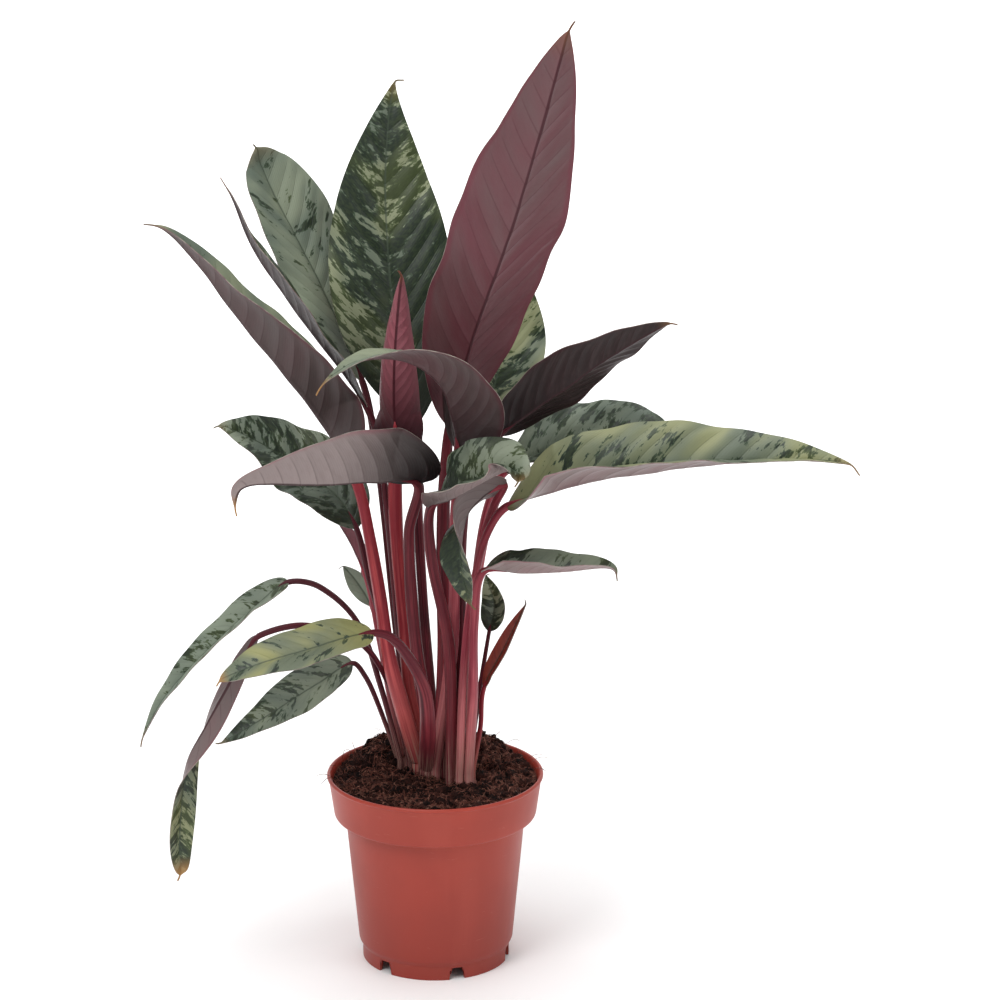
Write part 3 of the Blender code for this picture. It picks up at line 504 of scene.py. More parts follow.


# ------------------------------------------------------------------ leaves: where each one runs
# A leaf is a fleshy stalk that sheathes its neighbours at the bottom and a blade that hangs
# from its midrib. The points are those of the solids, in millimetres from the pot's axis and
# up from the soil level.

# stalk, rib: the points of each. width: across the widest place. fold: how far each half is
# lifted from flat at the base and at the tip, in degrees. face: the way the upper side looks at
# the base and at the tip. outline: the powers that shape the base and the tip. thick: the
# stalk's widths at the crown, half way and at the blade. curl: how much less a half is lifted
# at its margin than at the rib. wave: how far the margin goes in and out of the sheet, as a
# share of the half width, and how many waves it has. lean: how far the side veins slope to the
# tip. tone: how yellow and how light the upper side is, how red and how light the underside
# is. painted_shade_and_dark_tone: how far the blade is darkened near its base, mostly painted
# shade where the base stands in the shade of other leaves, partly the darker tissue of a real
# base. tan: how brown the tip is. young: how red the upper side still is. lopsided: how much
# lighter one half of the upper side is than the other, given only where the halves differ.
LEAVES = {
    "tall_front": dict(
        stalk=[(6, 0, 78), (5, -8, 150), (7, -13, 190)],
        rib=[(9, -16, 208), (21, -32, 260), (43, -54, 329), (59, -68, 388), (70, -72, 430),
             (72, -71, 438)],
        width=64, fold=(12, 12), face=[(-0.3, 0.9, 0.2), (-0.3, 0.9, 0.3)], outline=(0.7, 0.85),
        thick=(11, 9, 5.5), curl=26, wave=(0.1, 2.6), lean=1.0, tone=(0.2, 0.5, 0.75, 0.42),
        painted_shade_and_dark_tone=0.25, tan=0.2, young=0),
    "tall_back": dict(
        stalk=[(-5, 22, 72), (-9, 28, 140), (-9, 32, 178)],
        rib=[(-10, 35, 194), (-22, 52, 250), (-27, 70, 309), (-26, 80, 348), (-22, 86, 376),
             (-18, 84, 380)],
        width=70, fold=(12, 12), face=[(0.1, -0.9, 0.4), (0.1, -0.9, 0.5)], outline=(0.9, 1.2),
        thick=(7, 5.5, 5), curl=26, wave=(0.05, 2.2), lean=0.9, tone=(0.35, 0.37, 0.6, 0.45),
        painted_shade_and_dark_tone=1.0, tan=0.3, young=0, lopsided=0.07),
    "back_left": dict(
        stalk=[(-21, 38, 68), (-28, 46, 136), (-34, 50, 186)],
        rib=[(-40, 54, 214), (-63, 62, 267), (-82, 70, 303), (-96, 76, 332), (-98, 74, 345)],
        width=56, fold=(18, 18), face=[(0.5, -0.6, 0.6), (0.5, -0.6, 0.6)], outline=(0.8, 0.55),
        thick=(5, 4.4, 4), curl=24, wave=(0.08, 2.0), lean=0.9, tone=(0.1, 0.74, 0.6, 0.45),
        painted_shade_and_dark_tone=0.3, tan=0.2, young=0, lopsided=0.02),
    # This blade stands edgewise in the shade of the leaves in front, so its underside's lightness of 0 is
    # painted shade.
    "edgewise_left": dict(
        stalk=[(-19, 20, 72), (-25, 18, 143), (-30, 16, 190)],
        rib=[(-36, 14, 210), (-51, 10, 234), (-66, 6, 256), (-95, 0, 301), (-106, -4, 330),
             (-112, -6, 342)],
        width=38, fold=(18, 18), face=[(0.8, 0.2, 0.6), (0.8, 0.1, 0.5)], outline=(0.8, 1.2),
        thick=(5, 4.4, 4), curl=20, wave=(0.06, 2.0), lean=0.8, tone=(0.1, 0.35, 0.45, 0.0),
        painted_shade_and_dark_tone=1.0, tan=0.2, young=0),
    "long_left": dict(
        stalk=[(-18, 2, 43), (-25, 0, 73), (-29, -2, 105), (-35, -8, 146), (-40, -11, 172)],
        rib=[(-48, -14, 191), (-67, -26, 225), (-88, -36, 255), (-108, -45, 285),
             (-126, -50, 311), (-138, -53, 324), (-149, -54, 329)],
        width=54, fold=(62, 38), face=[(0.62, 0.3, 0.7), (0.25, -0.2, 0.9)], outline=(0.3, 1.0),
        thick=(13, 8.5, 6), curl=24, wave=(0.05, 2.0), lean=0.8, tone=(0.25, 0.95, 0.3, 0.28),
        painted_shade_and_dark_tone=0.35, tan=0.2, young=0),
    "rolled_young": dict(
        stalk=[(-14, 9, 49), (-17, 7, 91), (-20, 2, 133), (-21, -1, 168)],
        rib=[(-20, -4, 194), (-21, -6, 220), (-20, -9, 249), (-18, -11, 274), (-16, -12, 293)],
        width=31, fold=(38, 38), face=[(0.3, 0.95, 0.1), (0.3, 0.95, 0.1)], outline=(0.15, 0.8),
        thick=(7, 7, 8), curl=-60, wave=(0.02, 1.0), lean=1.2, tone=(0.2, 0.4, 0.95, 1.0),
        painted_shade_and_dark_tone=1.0, tan=0.2, young=1),
    "arching_front": dict(
        stalk=[(10, -9, 82), (12, -24, 155)],
        rib=[(14, -35, 199), (12, -48, 219), (7, -62, 240), (-3, -75, 255), (-19, -84, 264),
             (-37, -92, 264), (-51, -97, 257), (-59, -98, 249)],
        width=60, fold=(34, 6), face=[(0.8, 0.6, 0.1), (-0.5, -0.2, 0.8)], outline=(0.6, 1.3),
        thick=(8, 7, 5.5), curl=20, wave=(0.04, 2.0), lean=0.9, tone=(0.2, 0.85, 0.4, 0.25),
        painted_shade_and_dark_tone=0.7, tan=0.8, young=0),
    "level_left": dict(
        stalk=[(-10, -6, 81), (-13, -22, 150)],
        rib=[(-8, -36, 182), (-31, -56, 189), (-58, -74, 193), (-84, -84, 196), (-99, -88, 194),
             (-103, -88, 180)],
        width=66, fold=(48, 44), face=[(0.0, 0.55, 0.85), (-0.3, 0.45, 0.8)], outline=(0.45, 1.2),
        thick=(8, 7, 5.5), curl=20, wave=(0.03, 2.0), lean=0.3, tone=(0.3, 0.4, 0.1, 0.95),
        painted_shade_and_dark_tone=1.0, tan=1.0, young=0),
    "short_left": dict(
        stalk=[(-26, 24, 70), (-36, 23, 109)],
        rib=[(-43, 22, 139), (-53, 28, 155), (-72, 34, 168), (-92, 34, 182), (-111, 30, 193),
             (-121, 28, 197)],
        width=50, fold=(14, 14), face=[(0.2, -0.6, 0.8), (0.1, -0.5, 0.9)], outline=(0.7, 0.9),
        thick=(5, 4.2, 3.4), curl=30, wave=(0.08, 2.4), lean=0.8, tone=(0.05, 0.58, 0.5, 0.4),
        painted_shade_and_dark_tone=0.5, tan=0.2, young=0),
    "folded_centre": dict(
        stalk=[(8, -18, 84), (-1, -34, 140)],
        rib=[(-1, -47, 172), (10, -61, 181), (25, -69, 192), (39, -72, 200), (45, -78, 200),
             (46, -80, 194)],
        width=48, fold=(46, 40), face=[(-0.1, -0.3, 0.95), (0.1, -0.45, 0.9)], outline=(0.95, 0.8),
        thick=(8, 7, 5.5), curl=30, wave=(0.04, 2.0), lean=0.7, tone=(0.1, 0.5, 0.25, 0.75),
        painted_shade_and_dark_tone=0.5, tan=0.4, young=0),
    "upper_right": dict(
        stalk=[(14, 3, 79), (16, -4, 149), (22, -6, 184)],
        rib=[(35, -6, 200), (52, -12, 215), (71, -17, 230), (89, -20, 244), (108, -23, 257),
             (123, -24, 266), (130, -24, 268)],
        width=46, fold=(16, 16), face=[(-0.3, 0.8, 0.5), (-0.3, 0.7, 0.6)], outline=(0.7, 1.0),
        thick=(7, 5.5, 4.5), curl=24, wave=(0.06, 2.2), lean=0.9, tone=(0.2, 0.4, 0.3, 0.05),
        painted_shade_and_dark_tone=0.85, tan=0.3, young=0),
    "back_right": dict(
        stalk=[(10, 20, 70), (14, 32, 138), (20, 40, 172)],
        rib=[(27, 45, 192), (37, 55, 230), (40, 62, 262), (40, 64, 290)],
        width=50, fold=(12, 12), face=[(-0.1, -0.9, 0.4), (-0.1, -0.9, 0.4)], outline=(0.7, 1.0),
        thick=(7, 5.5, 4.5), curl=24, wave=(0.06, 2.0), lean=0.9, tone=(0.5, 0.66, 0.6, 0.5),
        painted_shade_and_dark_tone=0.5, tan=0.1, young=0),
    "mid_right": dict(
        stalk=[(19, 12, 74), (24, 15, 129), (30, 16, 158)],
        rib=[(39, 14, 174), (64, 10, 188), (90, 4, 197), (117, -4, 202), (127, -8, 198),
             (128, -8, 192)],
        width=46, fold=(30, 30), face=[(-0.2, -0.4, 0.9), (0.2, -0.4, 0.9)], outline=(0.7, 0.9),
        thick=(6, 5, 4), curl=30, wave=(0.07, 2.4), lean=0.8, tone=(0.1, 0.6, 0.4, 0.5),
        painted_shade_and_dark_tone=0.4, tan=0.2, young=0),
    "long_right": dict(
        stalk=[(17, -20, 86), (24, -34, 138), (31, -40, 160)],
        rib=[(40, -44, 172), (68, -52, 184), (95, -60, 193), (153, -66, 202), (193, -70, 205),
             (219, -72, 203), (225, -72, 199)],
        width=54, fold=(58, 30), face=[(-0.2, -0.3, 0.95), (0.0, -0.4, 0.9)], outline=(0.55, 1.05),
        thick=(7, 6, 4.5), curl=24, wave=(0.05, 3.0), lean=0.9, tone=(0.6, 0.72, 0.3, 0.75),
        painted_shade_and_dark_tone=0.1, tan=0.4, young=0),
    "hanging_right": dict(
        stalk=[(19, -6, 80), (26, -20, 140), (33, -36, 170)],
        rib=[(38, -45, 184), (28, -49, 180), (18, -52, 169), (15, -57, 152), (17, -60, 134),
             (21, -58, 119)],
        width=32, fold=(20, 20), face=[(-0.2, 0.8, 0.6), (-0.5, -0.8, 0.2)], outline=(0.5, 0.9),
        thick=(8, 6, 4.5), curl=24, wave=(0.06, 2.0), lean=0.8, tone=(0.8, 0.4, 0.2, 0.6),
        painted_shade_and_dark_tone=0.1, tan=0.3, young=0),
    "low_right": dict(
        stalk=[(21, -18, 56), (22, -34, 105)],
        rib=[(27, -42, 135), (47, -48, 136), (68, -53, 138), (88, -55, 141), (96, -55, 140),
             (99, -55, 135)],
        width=27, fold=(56, 34), face=[(-0.1, -0.05, 1.0), (0.1, -0.2, 1.0)], outline=(0.45, 0.8),
        thick=(7, 6, 4.5), curl=24, wave=(0.06, 2.0), lean=0.8, tone=(0.1, 0.6, 0.3, 1.0),
        painted_shade_and_dark_tone=0.1, tan=0.2, young=0),
    "red_lance": dict(
        stalk=[(25, -4, 32)],
        rib=[(27, -5, 55), (39, -6, 80), (51, -9, 107)],
        width=11, fold=(30, 30), face=[(-0.6, -0.6, 0.4), (-0.6, -0.6, 0.4)], outline=(0.7, 1.0),
        thick=(3.5, 3, 2.4), curl=10, wave=(0.0, 1.0), lean=1.4, tone=(0, 0, 1, 0.9),
        painted_shade_and_dark_tone=0.1, tan=0.0, young=1),
    "small_right": dict(
        stalk=[(24, 5, 46)],
        rib=[(30, 8, 84), (33, 8, 99), (28, 6, 118)],
        width=15, fold=(20, 20), face=[(-0.3, -0.9, 0.3), (-0.3, -0.9, 0.3)], outline=(0.6, 0.9),
        thick=(3.5, 3, 2.2), curl=20, wave=(0.1, 1.5), lean=0.8, tone=(0.3, 0.5, 0.5, 0.5),
        painted_shade_and_dark_tone=0.1, tan=0.1, young=0),
    "low_left": dict(
        stalk=[(-30, 14, 50), (-42, 0, 92), (-62, -14, 117)],
        rib=[(-79, -18, 121), (-94, -20, 110), (-121, -18, 84), (-148, -12, 52), (-163, -8, 24)],
        width=22, fold=(30, 30), face=[(-0.2, -0.3, 0.9), (-0.8, -0.5, 0.4)], outline=(0.35, 0.9),
        thick=(5, 4, 3.2), curl=20, wave=(0.06, 2.4), lean=0.9, tone=(0.0, 0.6, 0.4, 0.5),
        painted_shade_and_dark_tone=0.1, tan=0.3, young=0),
    "hanging_left": dict(
        stalk=[(-25, 9, 50), (-42, -14, 86), (-70, -36, 102)],
        rib=[(-94, -42, 98), (-101, -46, 89), (-111, -50, 71), (-123, -51, 49), (-133, -51, 29),
             (-137, -50, 7), (-139, -49, -20), (-138, -48, -40)],
        width=18, fold=(26, 26), face=[(0.3, 0.9, -0.3), (0.3, -0.9, 0.0)], outline=(0.5, 0.35),
        thick=(5, 4, 3.2), curl=20, wave=(0.06, 2.0), lean=1.2, tone=(0.5, 0.5, 0.3, 0.5),
        painted_shade_and_dark_tone=0.4, tan=0.9, young=0),
    "front_left": dict(
        stalk=[(-3, -28, 44), (-5, -37, 68), (-13, -47, 88), (-22, -53, 101)],
        rib=[(-32, -57, 105), (-49, -65, 104), (-70, -71, 99), (-94, -76, 93), (-115, -77, 84)],
        width=30, fold=(14, 14), face=[(0.0, -0.5, 0.9), (-0.3, -0.5, 0.9)], outline=(0.45, 0.65),
        thick=(12, 10, 4), curl=24, wave=(0.04, 2.0), lean=0.9, tone=(1.0, 0.78, 0.4, 0.6),
        painted_shade_and_dark_tone=0.1, tan=0.9, young=0),
    "under_left": dict(
        stalk=[(-32, 20, 38), (-39, 20, 54)],
        rib=[(-46, 18, 62), (-64, 14, 52), (-86, 8, 39), (-105, 4, 28), (-121, 2, 19)],
        width=30, fold=(12, 12), face=[(-0.3, -0.6, 0.8), (-0.4, -0.6, 0.8)], outline=(0.5, 1.0),
        thick=(4, 3.4, 3), curl=24, wave=(0.05, 2.0), lean=0.9, tone=(0.1, 0.6, 0.4, 0.4),
        painted_shade_and_dark_tone=0.1, tan=0.3, young=0),
    "tiny_left": dict(
        stalk=[(-28, 40, 55)],
        rib=[(-36, 42, 87), (-44, 44, 101), (-52, 44, 111)],
        width=12, fold=(14, 14), face=[(-0.3, -0.8, 0.4), (-0.3, -0.8, 0.4)], outline=(0.8, 0.9),
        thick=(3.5, 3, 2.2), curl=16, wave=(0.05, 1.5), lean=0.9, tone=(0.0, 1.0, 0.5, 0.5),
        painted_shade_and_dark_tone=0.1, tan=0.1, young=0),
    "winged_left": dict(
        stalk=[(-31, 32, 70)],
        rib=[(-38, 34, 106), (-48, 40, 127), (-58, 44, 142)],
        width=16, fold=(26, 26), face=[(0.4, 0.6, 0.6), (0.4, 0.6, 0.6)], outline=(0.5, 1.0),
        thick=(5, 4, 3), curl=16, wave=(0.05, 1.5), lean=1.0, tone=(0.2, 0.5, 0.9, 0.6),
        painted_shade_and_dark_tone=0.1, tan=0.1, young=0.6),
}


def smooth_route(points, steps=12):
    """A cubic through the points whose slope at each is the line between its neighbours."""
    spans = np.linalg.norm(np.diff(points, axis=0), axis=1)
    knots = np.concatenate([[0], np.cumsum(spans)])
    slopes = np.empty_like(points)
    slopes[1:-1] = (points[2:] - points[:-2]) / (knots[2:] - knots[:-2])[:, None]
    slopes[0] = (points[1] - points[0]) / spans[0]
    slopes[-1] = (points[-1] - points[-2]) / spans[-1]
    s = np.linspace(0, 1, steps, endpoint=False)[None, :, None]
    first, last = (slopes[:-1] * spans[:, None])[:, None], (slopes[1:] * spans[:, None])[:, None]
    runs = ((2 * s**3 - 3 * s**2 + 1) * points[:-1, None] + (s**3 - 2 * s**2 + s) * first
            + (3 * s**2 - 2 * s**3) * points[1:, None] + (s**3 - s**2) * last)
    return np.concatenate([runs.reshape(-1, 3), points[-1:]])


def along(route, distances):
    """Points and unit tangents of the route at distances from its start, with the tangents
    averaged over a few steps so that a surface along it bends evenly."""
    steps = np.linalg.norm(np.diff(route, axis=0), axis=1)
    lengths = np.concatenate([[0], np.cumsum(steps)])
    slopes = np.gradient(route, lengths, axis=0)
    slopes[1:-1] = (slopes[:-2] + 2 * slopes[1:-1] + slopes[2:]) / 4
    places = np.stack([np.interp(distances, lengths, route[:, k]) for k in range(3)], axis=1)
    tangents = np.stack([np.interp(distances, lengths, slopes[:, k]) for k in range(3)], axis=1)
    return places, tangents / np.linalg.norm(tangents, axis=1)[:, None]


def unit(vectors):
    return vectors / (np.linalg.norm(vectors, axis=-1, keepdims=True) + 1e-12)


def leaf_route(name, finer=3):
    """The whole leaf's centre line, and the distances along it of the blade's base and tip. The
    solids' cubic is worked out in twelve steps a span, and here in three times as many."""
    leaf = LEAVES[name]
    start = feet[name] + [0, 0, 0.0003]
    lift = [0, 0, SOIL_LEVEL]
    lower = [start, start + [0, 0, 0.004], *(np.array(leaf["stalk"]) / 1000 + lift)]
    route = smooth_route(np.array([*lower, *(np.array(leaf["rib"]) / 1000 + lift)]), 12 * finer)
    steps = np.linalg.norm(np.diff(route, axis=0), axis=1)
    lengths = np.concatenate([[0], np.cumsum(steps)])
    return route, lengths[12 * finer * len(lower)], lengths[-1]


# ------------------------------------------------------------------ leaf stalks
# Juicy red stalks, round at the blade and flattened into a sheath at the foot, with a channel
# down the inner side whose lips are thin and pale. Fine streaks run their whole length.

def stalk_surface(name, around=40):
    """A ring carried along the route. Its half width goes from the foot's to the blade's by the
    three given widths, its depth is four fifths of that at the foot and all of it at the blade,
    and a bell-shaped channel takes up to 0.45 of the radius off the upper side."""
    leaf = LEAVES[name]
    route, base, tip = leaf_route(name)
    run_out = min(0.014, 0.3 * (tip - base))
    rows = int(np.clip(base / 0.0014, 50, 220))
    s = np.concatenate([[-0.008], np.linspace(0, base, rows), base + run_out * np.array([.25, .5, .75, 1])])
    places, tangents = along(route, np.maximum(s, 0))
    places[0] -= [0, 0, 0.008]
    side_at_blade = np.cross(along(route, np.array([base]))[1][0], leaf["face"][0])
    side = unit(side_at_blade - (tangents @ side_at_blade)[:, None] * tangents)
    up = np.cross(side, tangents)
    share = np.clip(s / base, 0, 1)
    half = np.interp(share, [0, 0.08, 0.5, 1], np.array([leaf["thick"][0] * 0.96, *leaf["thick"]]) / 2000)
    past = np.clip((s - base) / run_out, 0, 1)
    half = half * (1 - 0.93 * past)
    places = places - up * (0.0007 * past + 0.0002)[:, None]
    turn = np.arange(around) * math.tau / around
    gap = np.abs((turn - math.pi / 2 + math.pi) % math.tau - math.pi)
    deep = 0.42 * (1 - 0.55 * share)
    channel = 1 - deep[:, None] * np.exp(-((gap / 0.5) ** 2))
    ribs = 1 + 0.018 * np.sin(7 * turn + 2.0)[None] + 0.010 * np.sin(13 * turn + 1.0)[None]
    swell = 1 + 0.03 * np.sin(s * 95 + len(name))[:, None]
    depth = 0.74 + 0.26 * share
    across = half[:, None] * channel * ribs * swell
    ring = (side[:, None] * np.cos(turn)[None, :, None]
            + up[:, None] * np.sin(turn)[None, :, None] * depth[:, None, None])
    lip = np.exp(-(((gap - 0.62) / 0.13) ** 2))[None] * np.clip(1.15 - share, 0, 1)[:, None]
    spot = np.stack(np.broadcast_arrays(s[:, None], share[:, None], lip), axis=-1)
    round_it = np.stack(np.broadcast_arrays(np.cos(turn)[None], np.sin(turn)[None], s[:, None]), axis=-1)
    return places[:, None] + ring * across[..., None], spot, round_it


def add_place(thing, name, values):
    """A vector kept at every point of the piece, which its materials read by this name."""
    layer = thing.data.attributes.new(name, "FLOAT_VECTOR", "POINT")
    layer.data.foreach_set("vector", np.ascontiguousarray(values, np.float32).reshape(-1))


def stalk_skin(name, deep, clear, painted_shade_and_dark_tone, foot, seed):
    """Skin of one kind of stalk. Streaks go along it and close up round it, because they are
    noise in the cosine and sine of the turn and the length. They run from the deep colour to
    the clear one, with darker stretches, painted shade that darkens the upper stalk under the
    blades, a lighter foot, paler lips and dry tissue at the mix."""
    material, tree, shader = new_material(name, Specular_IOR_Level=0.16)
    spot = add_node(tree, "Attribute", attribute_name="spot").outputs["Vector"]
    length, share, lip = add_node(tree, "SeparateXYZ", {0: spot}).outputs
    round_it = add_node(tree, "Attribute", attribute_name="round_it").outputs["Vector"]
    wide = stretched(tree, round_it, (1.6, 1.6, 14), (seed, 0, 0))
    thin = stretched(tree, round_it, (11, 11, 20), (0, seed, 0))
    band, streak = noise(tree, wide, 1.0, 2.0), noise(tree, thin, 1.0, 3.0, 0.55)
    patch = noise(tree, add_node(tree, "TexCoord").outputs["Object"], 30.0, 2.0)
    colour = shade(tree, ease(tree, band, 0.36, 0.62), linear(*deep), linear(*clear))
    colour = shade(tree, ease(tree, patch, 0.40, 0.70, 0.0, 0.8), colour, linear(*painted_shade_and_dark_tone))
    # Painted shade: the stalk darkens towards the blade, where the leaves above shade it.
    colour = shade(tree, ease(tree, share, 0.45, 1.0, 0.0, 0.6), colour, linear(*painted_shade_and_dark_tone))
    colour = shade(tree, ease(tree, share, 0.02, 0.5, 0.6, 0.0), colour, linear(*foot))
    colour = shade(tree, ease(tree, streak, 0.36, 0.50, 0.45, 0.0), colour, linear(*deep))
    colour = shade(tree, ease(tree, streak, 0.56, 0.70, 0.0, 0.16), colour, linear(186, 104, 102))
    pale = sums(tree, "MULTIPLY", lip, ease(tree, streak, 0.4, 0.6))
    colour = shade(tree, sums(tree, "MULTIPLY", pale, 0.22), colour, linear(188, 132, 130))
    dry = sums(tree, "MULTIPLY", ease(tree, length, 0.0, 0.034, 1.0, 0.0), ease(tree, streak, 0.47, 0.60))
    colour = shade(tree, dry, colour, linear(186, 150, 136))
    tree.links.new(colour, shader.inputs["Base Color"])
    tree.links.new(ease(tree, streak, 0.3, 0.7, 0.34, 0.46), shader.inputs["Roughness"])
    bump = add_node(tree, "Bump", {"Strength": 0.25, "Distance": 0.0003, "Height": streak})
    tree.links.new(bump.outputs[0], shader.inputs["Normal"])
    return material


STALK_SKINS = {
    "red": stalk_skin("stalk_red", (124, 30, 44), (186, 76, 78), (140, 42, 52), (208, 112, 106), 3.0),
    "rosy": stalk_skin("stalk_rosy", (118, 36, 50), (184, 92, 100), (140, 54, 66), (214, 140, 136), 11.0),
    "mauve": stalk_skin("stalk_mauve", (66, 16, 27), (128, 48, 56), (88, 28, 38), (130, 56, 62), 17.0),
    # A darker copy of the stalk skin: painted shade for the stalks at the back and under other leaves.
    "painted_shade_copy": stalk_skin("stalk_painted_shade_copy", (62, 18, 28), (112, 44, 54), (66, 26, 34), (96, 42, 48), 23.0),
}
STALK_KINDS = {
    "red": ("long_left", "red_lance", "rolled_young", "back_right"),
    "mauve": ("front_left", "level_left", "folded_centre", "tall_front"),
    # These stalks stand at the back and under other leaves, and their darker skin is painted shade.
    "painted_shade_copy": ("hanging_left", "low_left", "edgewise_left", "back_left", "tall_back",
              "short_left", "upper_right", "small_right", "under_left"),
}
KIND_OF = {name: kind for kind, names in STALK_KINDS.items() for name in names}

for name in LEAVES:
    grid, spot, round_it = stalk_surface(name)
    rows, around = grid.shape[:2]
    ends = [np.arange(around)[None, ::-1], (rows - 1) * around + np.arange(around)[None]]
    skin = STALK_SKINS[KIND_OF.get(name, "rosy")]
    stalk = add_mesh(name + "_fleshy_stalk", grid, [quads(rows, around, around=True), *ends], [skin])
    add_place(stalk, "spot", spot)
    add_place(stalk, "round_it", round_it)
    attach(stalk, "root")
    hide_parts(name + "_stalk")


# ------------------------------------------------------------------ leaf blades
# Thin leathery blades. The upper side is silver green with dark green camouflage patches drawn
# out along the side veins. The underside is mauve and satiny, with a burgundy midrib, and the
# margin between them is a thin pale line.

VEIN_BEND = 0.45


def half_width(t, leaf):
    """Lance shaped: a power of t up from the base times a power of 1 - t down to the drip tip,
    scaled to one at its widest. The last thirtieth is the thread of the drip tip."""
    rise, fall = leaf["outline"]
    peak = rise / (rise + fall)
    blunt = np.minimum(t / 0.978, 1)
    shape = (blunt / peak) ** rise * ((1 - blunt) / (1 - peak)) ** fall
    return np.maximum(leaf["width"] * 0.0005 * shape, leaf["thick"][2] * 0.00042 * (1 - t) + 0.0005 * t)


def both_sides(field):
    """A field of the upper side followed by its mirror, for the underside's columns."""
    return np.concatenate([field, field[:, ::-1]], axis=1)


def stacked(*fields):
    """The fields spread to one shape and laid together as the parts of a vector."""
    return np.stack(np.broadcast_arrays(*fields), axis=-1)


def blade_surface(name, seed):
    """Both sides of a blade as one ring of points carried from base to tip.

    Across the midrib the sheet climbs at an angle that starts at fold plus half of curl and
    ends at fold less half of curl, so its place is the running sum of the cosine and sine of
    that angle. The margin is moved by a sine of the length times the square of the share
    across. Side veins are lines of constant phase: the distance along the midrib less the lean
    times the distance across less the bend times its square. They press the sheet down in
    narrow grooves; the midrib is a groove above and a ridge below."""
    leaf = LEAVES[name]
    route, base, tip = leaf_route(name)
    long = tip - base
    rows = int(np.clip(long / 0.0011, 60, 230))
    halves = int(np.clip(leaf["width"] / 2 / 0.9, 9, 36))
    t = np.linspace(0, 1, rows)
    t = t - 0.035 * np.sin(2 * math.pi * t)
    v_half = np.linspace(0, 1, halves + 1) ** 1.15
    v = np.concatenate([-v_half[:0:-1], v_half])
    places, tangents = along(route, base + t * long)
    hook = np.clip((t - 0.955) / 0.045, 0, 1)
    face = np.outer(1 - t, leaf["face"][0]) + np.outer(t, leaf["face"][1])
    side = unit(np.cross(tangents, face))
    up = np.cross(side, tangents)
    half = half_width(t, leaf)
    places = places + (hook**2)[:, None] * ([0, 0, -0.0006] + 0.0024 * side * (-1) ** seed)

    ramp = np.minimum(1, t / 0.17)[:, None]
    fold = np.interp(t, (0, 1), leaf["fold"])[:, None]
    climb = np.radians(fold - leaf["curl"] * (v_half - 0.5)[None]) * ramp
    climb = climb * np.clip(v_half / 0.05, 0, 1)[None] ** 0.5
    middle = (climb[:, 1:] + climb[:, :-1]) / 2
    steps = np.diff(v_half)[None]
    zero = np.zeros((rows, 1))
    reach = np.concatenate([zero, np.cumsum(np.cos(middle) * steps, axis=1)], axis=1)
    lift = np.concatenate([zero, np.cumsum(np.sin(middle) * steps, axis=1)], axis=1)
    reach = np.concatenate([-reach[:, :0:-1], reach], axis=1)
    lift = np.concatenate([lift[:, :0:-1], lift], axis=1)
    ruffle, count = leaf["wave"]
    start = np.where(v < 0, seed * 1.7, seed * 2.9 + 1.1)[None]
    body = np.sin(math.pi * t)[:, None] ** 0.5
    turn = math.tau * count * t[:, None]
    ripple = np.sin(turn + start) + 0.4 * np.sin(2.3 * turn + 2 * start)
    lift = lift + ruffle * np.abs(v)[None] ** 2.2 * body * ripple
    spread = reach[..., None] * side[:, None] + lift[..., None] * up[:, None]
    sheet = places[:, None] + half[:, None, None] * spread

    across = np.abs(v)[None] * half[:, None]
    widest = leaf["width"] * 0.0005
    lines = (t * long)[:, None] - leaf["lean"] * across - VEIN_BEND * across**2 / widest
    spacing = np.clip(long / 13, 0.0055, 0.0145)
    phase = lines / spacing + seed * 0.37
    apart = np.abs(phase - np.round(phase))
    strength = np.clip(across / 0.002, 0, 1) * np.clip((half[:, None] - across) / 0.006, 0, 1) * body
    size = np.clip(widest / 0.025, 0.4, 1)
    vein = np.exp(-((apart / 0.09) ** 2)) * strength
    quilt = np.cos(math.tau * phase) * strength
    fall = (1 - t)[:, None]
    rib = np.exp(-((across / 0.0013) ** 2))
    lump = sum(np.sin(lines * k + across * m * np.sign(v) + seed * n) for k, m, n in
               ((120, 90, 1.0), (210, -160, 2.3), (75, 240, 3.1))) * body / 3
    normal = unit(np.cross(np.gradient(sheet, axis=0), np.gradient(sheet, axis=1)))
    normal *= np.sign((normal * up[:, None]).sum(axis=-1, keepdims=True).sum())
    press = size * (0.0005 * lump - 0.00028 * vein - 0.00022 * quilt)
    thick = 0.00022 + 0.00022 * np.clip((half[:, None] - across) / 0.004, 0, 1)
    upper = sheet + normal * (press + thick - 0.0007 * size * fall * rib)[..., None]
    under = sheet + normal * (press - thick - 0.0011 * size * fall**0.7 * rib * (1 - 0.2 * fall))[..., None]

    grid = np.concatenate([upper, under[:, ::-1]], axis=1)
    weave = stacked(both_sides(lines), both_sides(across * np.sign(v)[None]), seed * 0.4)
    shares = both_sides(np.broadcast_to(v[None], phase.shape))
    veins = stacked(both_sides(phase), shares, t[:, None])
    return grid, weave, veins, len(v)


